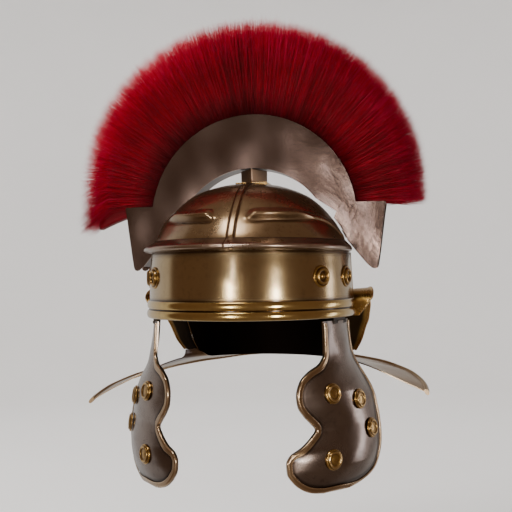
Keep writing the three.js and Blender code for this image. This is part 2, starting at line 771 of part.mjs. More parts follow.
const baseTop = bowlHeight + baseThick;
const crestBase = () => block(
  baseSize / 2,
  0,
  (x, y) => domeHeight(x, y + crestSetBack) + 2 * seam,
  () => baseTop,
);
const webUnder = (x) => crestInnerCentre + Math.sqrt(crestInnerRadius ** 2 - x ** 2);
const crestPost = () => block(postSide / 2, Math.PI / 4, () => baseTop + seam, (x) => webUnder(x) - seam);

// A short stay from the bowl's side to the crest leg above it.
function crestStay(side) {
  const [halfWidth, half] = [stayWidth / 2, stayThick / 2];
  return bar(stayRises.map((rise, i) => {
    const middle = oval(90, rise * bowlHeight, stayLifts[i]);
    return [[-half, -halfWidth], [half, -halfWidth], [half, halfWidth], [-half, halfWidth]]
      .map(([out, y]) => V(side * (middle.x + out), y, middle.z));
  }));
}

// Plume

// One tapering lock from its root to its tip in the plane of the fan. It is thin while it is
// between the crest plates, up to the share that is given, and then spreads.
function lock(root, tip, spread) {
  const along = tip.clone().sub(root).normalize();
  const across = new THREE.Vector2(-along.y, along.x);
  const ring = (share, wide, y, thick) => {
    const c = root.clone().lerp(tip, share);
    c.y -= spread.sag * Math.max(0, (share - 0.5) * 2) ** 2;
    const w = (lockWidth * wide) / 2;
    const at = (over, back) => V(c.x + across.x * over, y + back, c.y + across.y * over);
    return [at(-w, 0), at(0, -thick), at(w, 0), at(0, thick)];
  };
  const face = spread.face * plumeDepth;
  return bar([
    ring(0, 0.7, spread.face * crestRoom, crestRoom * 0.48),
    ring(spread.leaves, 0.9, spread.face * crestRoom, crestRoom * 0.48),
    ring(lerp(spread.leaves, 1, 0.55), 1, face * 0.5, plumeDepth * 0.25),
    ring(1, 0.72, face * 0.6, plumeDepth * 0.16),
  ]);
}

function plume() {
  const at = (turn, radius, centre) => new THREE.Vector2(
    radius * Math.sin(rad(turn)),
    centre + radius * Math.cos(rad(turn)),
  );
  const turns = range(-plumeRootEnd, plumeRootEnd, 28);
  const [low, high] = [crestOuterRadius - backingInset, crestOuterRadius + backingReach];
  const sheet = (y) => [low, high].map((radius) => turns.map((turn) => {
    const p = at(turn, radius, crestOuterCentre);
    return V(p.x, y, p.y);
  }));
  const backing = wall(sheet(-crestRoom), sheet(crestRoom));
  const half = (plumeLocks - 1) / 2;
  const shares = { front: range(-half, half, plumeLocks - 1), back: range(0.5 - half, half - 0.5, plumeLocks - 2) };
  const locks = [['front', -0.5], ['back', 0.5]].flatMap(([word, face]) => shares[word].map((step, i) => {
    const share = step / half;
    const root = at(share * plumeRootEnd, lerp(low, high, 0.33), crestOuterCentre);
    const tip = at(share * plumeTipEnd, plumeRadius * (i % 2 ? 1 : 0.985), bowlHeight - plumeCentreDrop);
    tip.set(tip.x + plumeLean, Math.max(tip.y, tailTop + plumeClear));
    const sag = plumeDroop * Math.max(0, (-share - 0.8) / 0.2);
    const leaves = Math.abs(share) > 0.8 ? 0.55 : 0.15;
    return lock(root, tip, { face, leaves, sag });
  }));
  return join([backing, ...locks]);
}

// Assembly

function piece(name, geometry, finish) {
  const mesh = new THREE.Mesh(geometry, new THREE.MeshStandardMaterial(finishes[finish]));
  mesh.name = name;
  return mesh;
}

const sides = [['left', 1], ['right', -1]];
const helmet = new THREE.Group();

helmet.add(
  piece('bowl', bowl(), 'bowl'),
  piece('brow_band', browBand(), 'band'),
  piece('brow_guard', browGuard(), 'band'),
);

bandBossAt.forEach((azimuth, i) => {
  const level = bossRise * bandTop;
  const face = oval(azimuth, level, 3 * seam + bandThick);
  const normal = oval(azimuth, level, 1).sub(oval(azimuth, level, 0)).normalize();
  helmet.add(bossOn(`band_boss_${i + 1}`, face, normal, 'gold'));
});

sides.forEach(([word, side]) => {
  const cheek = new THREE.Group();
  cheek.add(
    piece(`cheek_plate_${word}`, cheekPlate(side), 'cheek'),
    piece(`cheek_trim_${word}`, cheekTrim(side), 'gold'),
  );
  cheekBosses.forEach(({ drop, share }, i) => {
    const { face, normal } = bossSeat(drop, share, side);
    cheek.add(bossOn(`cheek_boss_${word}_${i + 1}`, face, normal, 'gold'));
  });
  helmet.add(
    cheek,
    piece(`ear_guard_${word}`, earGuard(side), 'gold'),
    piece(`hinge_leaf_${word}`, hingeLeaf(side), 'dark'),
    piece(`hinge_pin_${word}`, hingePin(side), 'dark'),
  );
});

const crest = new THREE.Group();
crest.position.y = crestSetBack;
const plateOffset = crestDepth / 2;
[['front', -1], ['back', 1]].forEach(([word, face]) => {
  const plate = piece(`crest_plate_${word}`, crestPlate(), 'bronze');
  plate.position.y = face * plateOffset;
  crest.add(plate);
});
crest.add(
  piece('crest_base', crestBase(), 'gold'),
  piece('crest_post', crestPost(), 'bronze'),
  piece('crest_web', crestWeb(), 'bronze'),
  piece('plume', plume(), 'hair'),
);
sides.forEach(([word, side]) => crest.add(piece(`crest_stay_${word}`, crestStay(side), 'dark')));
helmet.add(crest);

export default helmet;
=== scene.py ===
"""A Roman helmet in aged brass with hinged cheek plates and a plume that stands from side to side.

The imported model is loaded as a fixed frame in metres. Each class below builds one sub-assembly as
smooth meshes in that frame, dresses them and lets them ride on the bodies that they belong to.
Shapes are worked out in millimetres and scaled once, when a mesh is made.
"""
from __future__ import annotations

import json
import logging
import math
from dataclasses import dataclass, field
from enum import Enum
from typing import ClassVar

import bmesh
import bpy
import numpy as np
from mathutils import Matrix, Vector


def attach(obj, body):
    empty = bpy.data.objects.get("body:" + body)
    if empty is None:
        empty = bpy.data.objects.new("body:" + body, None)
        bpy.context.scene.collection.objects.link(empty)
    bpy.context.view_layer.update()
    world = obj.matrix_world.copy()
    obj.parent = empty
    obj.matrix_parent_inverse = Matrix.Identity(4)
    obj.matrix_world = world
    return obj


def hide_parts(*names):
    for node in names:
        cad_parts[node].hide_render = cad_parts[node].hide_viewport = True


MM = 0.001
LOG = logging.getLogger("helmet")
Color = tuple[float, float, float]
Socket = bpy.types.NodeSocket


class Side(Enum):
    """The wearer's left is +X and the wearer's right is -X."""

    LEFT = 1
    RIGHT = -1

    @property
    def word(self) -> str:
        """The side's name as it stands in the pieces' names."""
        return self.name.lower()


class Body(Enum):
    """The rigid bodies of the frame."""

    ROOT = "root"
    CHEEK_LEFT = "cheek_left"
    CHEEK_RIGHT = "cheek_right"

    @classmethod
    def cheek(cls, side: Side) -> "Body":
        """The body of a side's cheek plate."""
        return cls.CHEEK_LEFT if side is Side.LEFT else cls.CHEEK_RIGHT


# Curves and tables


class SmoothTable:
    """A smooth curve through a table of values that never overshoots between its rows."""

    def __init__(self, places: list[float], values: list[float]) -> None:
        """Works out the slope at each row.

        Args:
            places: The rows' places, in rising order.
            values: The value at each place.
        """
        self.x = np.array(places, dtype=float)
        self.y = np.array(values, dtype=float)
        step = np.diff(self.x)
        rise = np.diff(self.y) / step
        slope = np.zeros_like(self.y)
        slope[0], slope[-1] = rise[0], rise[-1]
        for i in range(1, len(slope) - 1):
            if rise[i - 1] * rise[i] > 0:
                before, after = 2 * step[i] + step[i - 1], step[i] + 2 * step[i - 1]
                slope[i] = (before + after) / (before / rise[i - 1] + after / rise[i])
        self.slope = slope

    def __call__(self, at: np.ndarray | float) -> np.ndarray:
        """The curve's value at each place.

        Args:
            at: One place or an array of them.

        Returns:
            An array of values with the shape of at.
        """
        at = np.clip(np.asarray(at, dtype=float), self.x[0], self.x[-1])
        i = np.clip(np.searchsorted(self.x, at) - 1, 0, len(self.x) - 2)
        width = self.x[i + 1] - self.x[i]
        t = (at - self.x[i]) / width
        near, far = self.y[i], self.y[i + 1]
        bend = (2 * t**3 - 3 * t**2 + 1) * near + (-2 * t**3 + 3 * t**2) * far
        bend += (t**3 - 2 * t**2 + t) * width * self.slope[i]
        return bend + (t**3 - t**2) * width * self.slope[i + 1]


def ease(value: np.ndarray | float, low: float, high: float) -> np.ndarray:
    """A smooth step from 0 at low to 1 at high."""
    t = np.clip((np.asarray(value, dtype=float) - low) / (high - low), 0, 1)
    return t * t * (3 - 2 * t)


def bell(value: np.ndarray, width: float) -> np.ndarray:
    """A rounded hump of height 1 about 0 that has died away at about twice its width."""
    return np.exp(-((value / width) ** 2))


def unit(vectors: np.ndarray) -> np.ndarray:
    """The same vectors with a length of 1."""
    return vectors / np.linalg.norm(vectors, axis=-1, keepdims=True)


def ripple(x: np.ndarray, y: np.ndarray, z: np.ndarray, size: float, seed: int) -> np.ndarray:
    """A soft unevenness between about -1 and 1, as hand beating leaves it.

    Args:
        x: First coordinate in millimetres.
        y: Second coordinate in millimetres.
        z: Third coordinate in millimetres.
        size: The length of one wave in millimetres.
        seed: Fixes the directions and phases.

    Returns:
        The unevenness at each point.
    """
    draw = np.random.default_rng(seed)
    total = np.zeros(np.broadcast(x, y, z).shape)
    waves = 7
    for _ in range(waves):
        way = draw.normal(size=3)
        way *= 2 * math.pi / (size * draw.uniform(0.7, 1.6) * np.linalg.norm(way))
        total += np.sin(way[0] * x + way[1] * y + way[2] * z + draw.uniform(0, 2 * math.pi))
    return total / math.sqrt(waves)


# Meshes


def make_object(
    name: str,
    points: np.ndarray,
    quads: np.ndarray,
    triangles: np.ndarray | None = None,
    masks: dict[str, np.ndarray] | None = None,
) -> bpy.types.Object:
    """Makes a smooth mesh object from arrays.

    Args:
        name: The object's name.
        points: Corners in millimetres, one row each.
        quads: Four corner numbers a row.
        triangles: Three corner numbers a row, if there are any.
        masks: Values for each corner, by attribute name.

    Returns:
        The new object, with its corners in metres.
    """
    mesh = bpy.data.meshes.new(name)
    tri_count = 0 if triangles is None else len(triangles)
    loops = [quads.ravel()] + ([] if triangles is None else [triangles.ravel()])
    loop_list = np.concatenate(loops).astype(np.int32)
    mesh.vertices.add(len(points))
    mesh.vertices.foreach_set("co", (points * MM).astype(np.float32).ravel())
    mesh.loops.add(len(loop_list))
    mesh.loops.foreach_set("vertex_index", loop_list)
    mesh.polygons.add(len(quads) + tri_count)
    starts = np.concatenate([np.arange(len(quads)) * 4, len(quads) * 4 + np.arange(tri_count) * 3])
    mesh.polygons.foreach_set("loop_start", starts.astype(np.int32))
    mesh.update(calc_edges=True)
    mesh.validate()
    mesh.shade_smooth()
    for label, values in (masks or {}).items():
        attribute = mesh.attributes.new(label, "FLOAT", "POINT")
        attribute.data.foreach_set("value", values.astype(np.float32).ravel())
    obj = bpy.data.objects.new(name, mesh)
    bpy.context.scene.collection.objects.link(obj)
    return obj


@dataclass
class Patch:
    """A grid of points with masks, gathered into one mesh with others."""

    points: np.ndarray
    quads: np.ndarray
    masks: dict[str, np.ndarray] = field(default_factory=dict)


def on_side(patch: Patch, side: Side) -> Patch:
    """A patch made for the wearer's left, or its mirror image for the right."""
    return Patch(patch.points * np.array([side.value, 1, 1]), patch.quads, patch.masks)


def cells(numbers: np.ndarray, wrap: bool = False) -> np.ndarray:
    """The quads of a grid of corner numbers.

    Args:
        numbers: Corner numbers by row and column.
        wrap: Whether the last column joins the first.

    Returns:
        Four corner numbers a row.
    """
    if wrap:
        numbers = np.concatenate([numbers, numbers[:, :1]], axis=1)
    a, b = numbers[:-1, :-1], numbers[:-1, 1:]
    c, d = numbers[1:, 1:], numbers[1:, :-1]
    return np.stack([a, b, c, d], axis=-1).reshape(-1, 4)


def wall(outer: np.ndarray, inner: np.ndarray, masks: dict[str, np.ndarray] | None = None) -> Patch:
    """A closed sheet of metal between two grids of the same size.

    Args:
        outer: Points of the outer face by row and column.
        inner: Points of the inner face by row and column.
        masks: Values of the outer face by attribute name; the inner face gets the same.

    Returns:
        One closed patch.
    """
    rows, columns = outer.shape[:2]
    face = np.arange(rows * columns).reshape(rows, columns)
    back = face + rows * columns
    borders = []
    for near, far, flip in (
        (face[0], back[0], False),
        (face[-1], back[-1], True),
        (face[:, 0], back[:, 0], True),
        (face[:, -1], back[:, -1], False),
    ):
        strip = np.stack([near, far] if flip else [far, near])
        borders.append(cells(strip))
    quads = np.concatenate([cells(face), cells(back)[:, ::-1], *borders])
    points = np.concatenate([outer.reshape(-1, 3), inner.reshape(-1, 3)])
    doubled = {k: np.concatenate([v.ravel(), v.ravel()]) for k, v in (masks or {}).items()}
    return Patch(points, quads, doubled)


def tube(line: np.ndarray, radii: np.ndarray, sides: int = 12) -> Patch:
    """A round bar along a line of points, closed at both ends by shrinking to a point.

    Args:
        line: Points along the middle.
        radii: The radius at each point.
        sides: Corners round the bar.

    Returns:
        One closed patch.
    """
    along = unit(np.gradient(line, axis=0))
    up = np.array([0.0, 0.0, 1.0]) if abs(along[0, 2]) < 0.8 else np.array([0.0, 1.0, 0.0])
    across = unit(np.cross(along, up))
    over = np.cross(along, across)
    turn = np.linspace(0, 2 * math.pi, sides, endpoint=False)[None, :, None]
    rings = line[:, None, :] + radii[:, None, None] * (
        np.cos(turn) * across[:, None, :] + np.sin(turn) * over[:, None, :]
    )
    start = line[0] - along[0] * 0.01
    end = line[-1] + along[-1] * 0.01
    rings = np.concatenate([np.tile(start, (1, sides, 1)), rings, np.tile(end, (1, sides, 1))])
    return Patch(rings.reshape(-1, 3), cells(np.arange(rings.shape[0] * sides).reshape(-1, sides), True))


def lathe(profile: np.ndarray, sides: int, masks: dict[str, np.ndarray] | None = None) -> Patch:
    """A body turned about its local Z axis from a profile of radius and height.

    Args:
        profile: Radius and height a row, from the axis back to the axis.
        sides: Corners round the body.
        masks: Values for each row of the profile, by attribute name.

    Returns:
        One closed patch.
    """
    turn = np.linspace(0, 2 * math.pi, sides, endpoint=False)
    x = profile[:, :1] * np.cos(turn)
    y = profile[:, :1] * np.sin(turn)
    z = np.repeat(profile[:, 1:], sides, axis=1)
    points = np.stack([x, y, z], axis=-1).reshape(-1, 3)
    quads = cells(np.arange(len(points)).reshape(len(profile), sides), True)
    spread = {k: np.repeat(v, sides) for k, v in (masks or {}).items()}
    return Patch(points, quads, spread)


def merge_patches(name: str, patches: list[Patch]) -> bpy.types.Object:
    """Joins patches into one object, merges corners that coincide and turns all faces outward.

    Args:
        name: The object's name.
        patches: The patches to join.

    Returns:
        The new object.
    """
    labels = sorted({label for patch in patches for label in patch.masks})
    points, quads, masks, start = [], [], {label: [] for label in labels}, 0
    for patch in patches:
        points.append(patch.points)
        quads.append(patch.quads + start)
        start += len(patch.points)
        for label in labels:
            masks[label].append(patch.masks.get(label, np.zeros(len(patch.points))).ravel())
    joined = {label: np.concatenate(values) for label, values in masks.items()}
    obj = make_object(name, np.concatenate(points), np.concatenate(quads), None, joined)
    clean(obj)
    return obj


def clean(obj: bpy.types.Object) -> None:
    """Merges coinciding corners, drops faces without area and makes the normals point outward.

    Args:
        obj: The object to clean.
    """
    work = bmesh.new()
    work.from_mesh(obj.data)
    bmesh.ops.remove_doubles(work, verts=work.verts, dist=2e-6)
    bmesh.ops.dissolve_degenerate(work, edges=work.edges, dist=1e-7)
    bmesh.ops.recalc_face_normals(work, faces=work.faces)
    work.to_mesh(obj.data)
    work.free()
    obj.data.shade_smooth()


def from_work(name: str, work: bmesh.types.BMesh) -> bpy.types.Object:
    """Makes a smooth object of a working mesh and frees the working mesh.

    Args:
        name: The object's name.
        work: The working mesh.

    Returns:
        The new object.
    """
    mesh = bpy.data.meshes.new(name)
    work.to_mesh(mesh)
    work.free()
    mesh.shade_smooth()
    obj = bpy.data.objects.new(name, mesh)
    bpy.context.scene.collection.objects.link(obj)
    return obj


# Shader node groups


def group_shell(
    name: str, inputs: dict[str, float], outputs: list[str]
) -> tuple[Wires, list[Socket], list[Socket]]:
    """A new shader node group with number inputs and number outputs.

    Args:
        name: The group's name.
        inputs: Default values by socket name.
        outputs: The names of the outputs.

    Returns:
        The group's wires, the sockets that it is given and the sockets that it gives out.
    """
    tree = bpy.data.node_groups.new(name, "ShaderNodeTree")
    for label, value in inputs.items():
        socket = tree.interface.new_socket(name=label, in_out="INPUT", socket_type="NodeSocketFloat")
        socket.default_value = value
    for label in outputs:
        tree.interface.new_socket(name=label, in_out="OUTPUT", socket_type="NodeSocketFloat")
    given = tree.nodes.new("NodeGroupInput").outputs
    out = tree.nodes.new("NodeGroupOutput").inputs
    return Wires(tree), list(given), list(out)


class Wires:
    """Adds nodes to a tree and links them in one call each."""

    def __init__(self, tree: bpy.types.NodeTree) -> None:
        """Keeps the tree that the nodes go into."""
        self.tree = tree

    def node(self, kind: str, inputs: dict | None = None, **settings: object) -> bpy.types.Node:
        """Adds a node.

        Args:
            kind: The node's type name.
            inputs: Values or sockets by input name or number.
            settings: Properties of the node.

        Returns:
            The new node.
        """
        made = self.tree.nodes.new(kind)
        for key, value in settings.items():
            setattr(made, key, value)
        for key, value in (inputs or {}).items():
            if isinstance(value, Socket):
                self.tree.links.new(value, made.inputs[key])
            else:
                made.inputs[key].default_value = value
        return made

    def link(self, value: Socket, target: Socket) -> None:
        """Links a socket to another."""
        self.tree.links.new(value, target)

    def attribute(self, name: str) -> Socket:
        """The value of a mesh attribute."""
        return self.node("ShaderNodeAttribute", attribute_name=name).outputs["Fac"]

    def group(self, tree: bpy.types.NodeTree, *values: object) -> list[Socket]:
        """The outputs of a node group on values or sockets."""
        return list(self.node("ShaderNodeGroup", dict(enumerate(values)), node_tree=tree).outputs)

    def math(self, operation: str, *values: object, clamp: bool = False) -> Socket:
        """The result of a math node on values or sockets."""
        made = self.node("ShaderNodeMath", dict(enumerate(values)), operation=operation, use_clamp=clamp)
        return made.outputs[0]

    def fit(self, value: object, low: float, high: float, to_low: float, to_high: float) -> Socket:
        """A value taken from one span to another and held inside it."""
        spans = {0: value, 1: low, 2: high, 3: to_low, 4: to_high}
        return self.node("ShaderNodeMapRange", spans, clamp=True).outputs[0]

    def mix(self, share: object, first: object, second: object) -> Socket:
        """A blend of two colours."""
        inputs = {0: share, 6: first, 7: second}
        return self.node("ShaderNodeMix", inputs, data_type="RGBA").outputs[2]

    def noise(self, scale: object, detail: float, rough: float = 0.55, at: Socket | None = None) -> Socket:
        """The value of a noise texture.

        Args:
            scale: Waves in each metre.
            detail: Number of finer layers.
            rough: Strength of the finer layers.
            at: Where to read it, or else the object's own coordinates.

        Returns:
            The value, about 0.5 in the middle.
        """
        at = self.place() if at is None else at
        inputs = {"Scale": scale, "Detail": detail, "Roughness": rough, "Vector": at}
        return self.node("ShaderNodeTexNoise", inputs).outputs[0]

    def place(self) -> Socket:
        """The object's own coordinates, which move with its body."""
        return self.node("ShaderNodeTexCoord").outputs["Object"]

    def stretched(self, scale: tuple[float, float, float], turn: tuple[float, float, float]) -> Socket:
        """The object's coordinates turned and scaled along each axis."""
        inputs = {"Vector": self.place(), "Scale": scale, "Rotation": turn}
        return self.node("ShaderNodeMapping", inputs).outputs[0]


class Effects:
    """The node groups that the finishes use, each built once."""

    def __init__(self) -> None:
        """Builds every group."""
        self.patina = self.build_patina()
        self.grain = self.build_grain()
        self.scratches = self.build_scratches()
        self.hammer = self.build_hammer()
        self.wear = self.build_wear()

    @staticmethod
    def build_patina() -> bpy.types.NodeTree:
        """Cloudy tarnish: large soft clouds and small specks, each from 0 to 1."""
        scales = {"Cloud Scale": 14.0, "Speck Scale": 160.0}
        w, given, out = group_shell("patina", scales, ["Clouds", "Specks"])
        w.link(w.fit(w.noise(given[0], 5.0, 0.6), 0.36, 0.66, 0.0, 1.0), out[0])
        w.link(w.fit(w.noise(given[1], 6.0, 0.7), 0.52, 0.74, 0.0, 1.0), out[1])
        return w.tree

    @staticmethod
    def build_grain() -> bpy.types.NodeTree:
        """Fine satin grain as a height."""
        w, given, out = group_shell("satin_grain", {"Scale": 900.0}, ["Height"])
        w.link(w.noise(given[0], 3.0, 0.6), out[0])
        return w.tree

    @staticmethod
    def build_scratches() -> bpy.types.NodeTree:
        """Thin straight scratches in three directions, from 0 to 1."""
        w, given, out = group_shell("scratches", {"Scale": 60.0, "Amount": 0.5}, ["Mask"])
        stretches = ((1, 1, 26), (24, 1, 1), (1, 18, 2))
        turns = ((0.5, 0.9, 0.3), (0.2, 0.6, 1.1), (1.2, 0.1, 0.7))
        lines = []
        for scale, turn in zip(stretches, turns):
            value = w.noise(given[0], 2.0, 0.5, w.stretched(scale, turn))
            ridge = w.math("ABSOLUTE", w.math("SUBTRACT", value, 0.5))
            lines.append(w.fit(ridge, 0.0, 0.012, 1.0, 0.0))
        most = w.math("MAXIMUM", w.math("MAXIMUM", lines[0], lines[1]), lines[2])
        patchy = w.fit(w.noise(30.0, 3.0), 0.45, 0.65, 0.0, 1.0)
        w.link(w.math("MULTIPLY", w.math("MULTIPLY", most, patchy), given[1]), out[0])
        return w.tree

    @staticmethod
    def build_hammer() -> bpy.types.NodeTree:
        """Shallow overlapping dents as a height."""
        w, given, out = group_shell("hammer_marks", {"Scale": 130.0}, ["Height"])
        dents = w.node("ShaderNodeTexVoronoi", {"Vector": w.place(), "Scale": given[0], "Randomness": 1.0})
        soft = w.math("MULTIPLY", w.noise(given[0], 2.0), 0.7)
        w.link(w.math("ADD", w.math("POWER", dents.outputs["Distance"], 1.6), soft), out[0])
        return w.tree

    @staticmethod
    def build_wear() -> bpy.types.NodeTree:
        """Breaks a mask of edges up with noise, so that wear comes and goes."""
        w, given, out = group_shell("broken_wear", {"Edge": 0.0, "Scale": 70.0}, ["Mask"])
        broken = w.fit(w.noise(given[1], 4.0), 0.3, 0.62, 0.25, 1.0)
        w.link(w.math("MULTIPLY", given[0], broken, clamp=True), out[0])
        return w.tree


# Nearly black colour of painted shade on the inner faces that the inside mask marks: inside the bowl and on
# the ear guards
INSIDE_SHADE: Color = (0.012, 0.007, 0.005)


def rgba(color: Color) -> tuple[float, float, float, float]:
    """The colour with full alpha."""
    return (*color, 1.0)


def blank_material(name: str) -> tuple[bpy.types.Material, Wires, bpy.types.NodeInputs]:
    """Makes a material.

    Args:
        name: The material's name.

    Returns:
        The material, its wires and the inputs of its shader.
    """
    material = bpy.data.materials.new(name)
    material.use_nodes = True
    tree = material.node_tree
    return material, Wires(tree), tree.nodes["Principled BSDF"].inputs


@dataclass(frozen=True)
class MetalFinish:
    """An aged metal: its colours, its gloss and how much its surface has seen.

    Attributes:
        name: The material's name.
        slot: The record's material slot; it is not used.
        tarnish_and_shade: Colour of the tarnish specks and of the painted shade in creases, grooves and
            corners.
        body: Main colour.
        bright: Colour where it is rubbed.
        worn: Colour of bare edges.
        gloss: Roughness of the rubbed metal.
        dull: Roughness of the tarnish.
        clouds: Scale of the tarnish clouds.
        tarnish: Strength of the clouds.
        grain: Height of the satin grain, in millimetres.
        dents: Height of the hammer marks, in millimetres.
        scratched: Strength of the scratches.
        lacquer: Weight of the clear lacquer.
    """

    # Scales of the effects, in waves per metre
    WEAR_SCALE: ClassVar[float] = 70.0
    SCRATCH_SCALE: ClassVar[float] = 60.0
    GRAIN_SCALE: ClassVar[float] = 900.0
    HAMMER_SCALE: ClassVar[float] = 240.0

    name: str
    slot: str
    tarnish_and_shade: Color
    body: Color
    bright: Color
    worn: Color
    gloss: float = 0.22
    dull: float = 0.42
    clouds: float = 16.0
    tarnish: float = 0.6
    grain: float = 0.006
    dents: float = 0.0
    scratched: float = 0.4
    lacquer: float = 0.35

    def build(self, effects: Effects) -> bpy.types.Material:
        """Makes the material.

        Args:
            effects: The shared node groups.

        Returns:
            The new material.
        """
        material, w, shader = blank_material(self.name)
        clouds, specks = w.group(effects.patina, self.clouds)
        hollow, inside = w.attribute("hollow"), w.attribute("inside")
        wear, = w.group(effects.wear, w.attribute("edge"), self.WEAR_SCALE)
        lines, = w.group(effects.scratches, self.SCRATCH_SCALE, self.scratched)

        tarnish = w.math("MULTIPLY", clouds, self.tarnish)
        color = w.mix(tarnish, rgba(self.bright), rgba(self.body))
        color = w.mix(w.math("MULTIPLY", specks, self.tarnish * 0.55), color, rgba(self.tarnish_and_shade))
        color = w.mix(w.math("MULTIPLY", lines, 0.5), color, rgba(self.bright))
        # Painted shade: the hollow mask darkens creases, grooves, corners and undersides
        color = w.mix(hollow, color, rgba(self.tarnish_and_shade))
        color = w.mix(wear, color, rgba(self.worn))
        # Inner faces marked by the inside mask take the nearly black painted shade
        w.link(w.mix(inside, color, rgba(INSIDE_SHADE)), shader["Base Color"])

        rough = w.fit(tarnish, 0.0, 1.0, self.gloss, self.dull)
        rough = w.math("ADD", rough, w.math("MULTIPLY", hollow, 0.18))
        rough = w.math("ADD", rough, w.math("MULTIPLY", lines, 0.12), clamp=True)
        rough = w.math("ADD", rough, w.math("MULTIPLY", inside, 0.5), clamp=True)
        w.link(rough, shader["Roughness"])
        w.link(w.fit(inside, 0.0, 1.0, self.lacquer, 0.0), shader["Coat Weight"])
        shader["Metallic"].default_value = 1.0
        shader["Coat Roughness"].default_value = 0.12

        fine, = w.group(effects.grain, self.GRAIN_SCALE)
        height = w.math("MULTIPLY", fine, self.grain * MM)
        height = w.math("SUBTRACT", height, w.math("MULTIPLY", lines, 0.012 * MM))
        if self.dents:
            marks, = w.group(effects.hammer, self.HAMMER_SCALE)
            marked = w.math("MULTIPLY", w.math("MULTIPLY", marks, w.attribute("dented")), self.dents * MM)
            height = w.math("ADD", height, marked)
        bump = w.node("ShaderNodeBump", {"Height": height, "Strength": 1.0, "Distance": 1.0})
        w.link(bump.outputs[0], shader["Normal"])
        return material


@dataclass(frozen=True)
class HairFinish:
    """Dyed horsehair with each strand its own tone, darkened toward the root as painted shade of the dense
    brush and bright toward the tip.

    Attributes:
        name: The material's name.
        slot: The record's material slot; it is not used.
        root: Colour of the painted shade at the roots, and of dark strands.
        body: Colour of the lower part.
        tip: Colour toward the tips.
        pale: Colour of the tips of light strands.
        roughness: Middle roughness.
        clouds: Scale of the clouds in the roughness.
    """

    name: str = "crimson_hair"
    slot: str = "plume_hair"
    root: Color = (0.02, 0.0002, 0.0006)
    body: Color = (0.24, 0.0003, 0.008)
    tip: Color = (0.52, 0.0008, 0.03)
    pale: Color = (0.66, 0.03, 0.1)
    roughness: float = 0.5
    clouds: float = 40.0

    def build(self, effects: Effects) -> bpy.types.Material:
        """Makes the material.

        Args:
            effects: The shared node groups.

        Returns:
            The new material.
        """
        material, w, shader = blank_material(self.name)
        along, tone = w.attribute("along"), w.attribute("tone")
        # Painted shade: each strand darkens toward its root
        color = w.mix(w.fit(along, 0.0, 0.34, 0.0, 1.0), rgba(self.root), rgba(self.body))
        color = w.mix(w.fit(along, 0.55, 1.0, 0.0, 0.8), color, rgba(self.tip))
        color = w.mix(w.fit(tone, 0.0, 0.5, 0.72, 0.0), color, rgba(self.root))
        pale = w.math("MULTIPLY", w.fit(tone, 0.8, 1.0, 0.0, 0.6), w.fit(along, 0.5, 1.0, 0.1, 1.0))
        w.link(w.mix(pale, color, rgba(self.pale)), shader["Base Color"])
        clouds = w.group(effects.patina, self.clouds)[0]
        rough = w.fit(clouds, 0.0, 1.0, self.roughness - 0.08, self.roughness + 0.1)
        w.link(rough, shader["Roughness"])
        shader["Specular IOR Level"].default_value = 0.12
        return material


@dataclass(frozen=True)
class PlainFinish:
    """A matt surface for the studio floor.

    Attributes:
        name: The material's name.
        color: Its darker tone.
        roughness: Its roughness.
    """

    name: str
    color: Color
    roughness: float = 0.9

    def build(self) -> bpy.types.Material:
        """Makes the material."""
        material, w, shader = blank_material(self.name)
        shade = w.fit(w.noise(2.0, 3.0), 0.3, 0.7, 0.0, 1.0)
        lighter = tuple(min(1.0, c * 1.03) for c in self.color)
        w.link(w.mix(shade, rgba(self.color), rgba(lighter)), shader["Base Color"])
        shader["Roughness"].default_value = self.roughness
        shader["Specular IOR Level"].default_value = 0.1
        return material


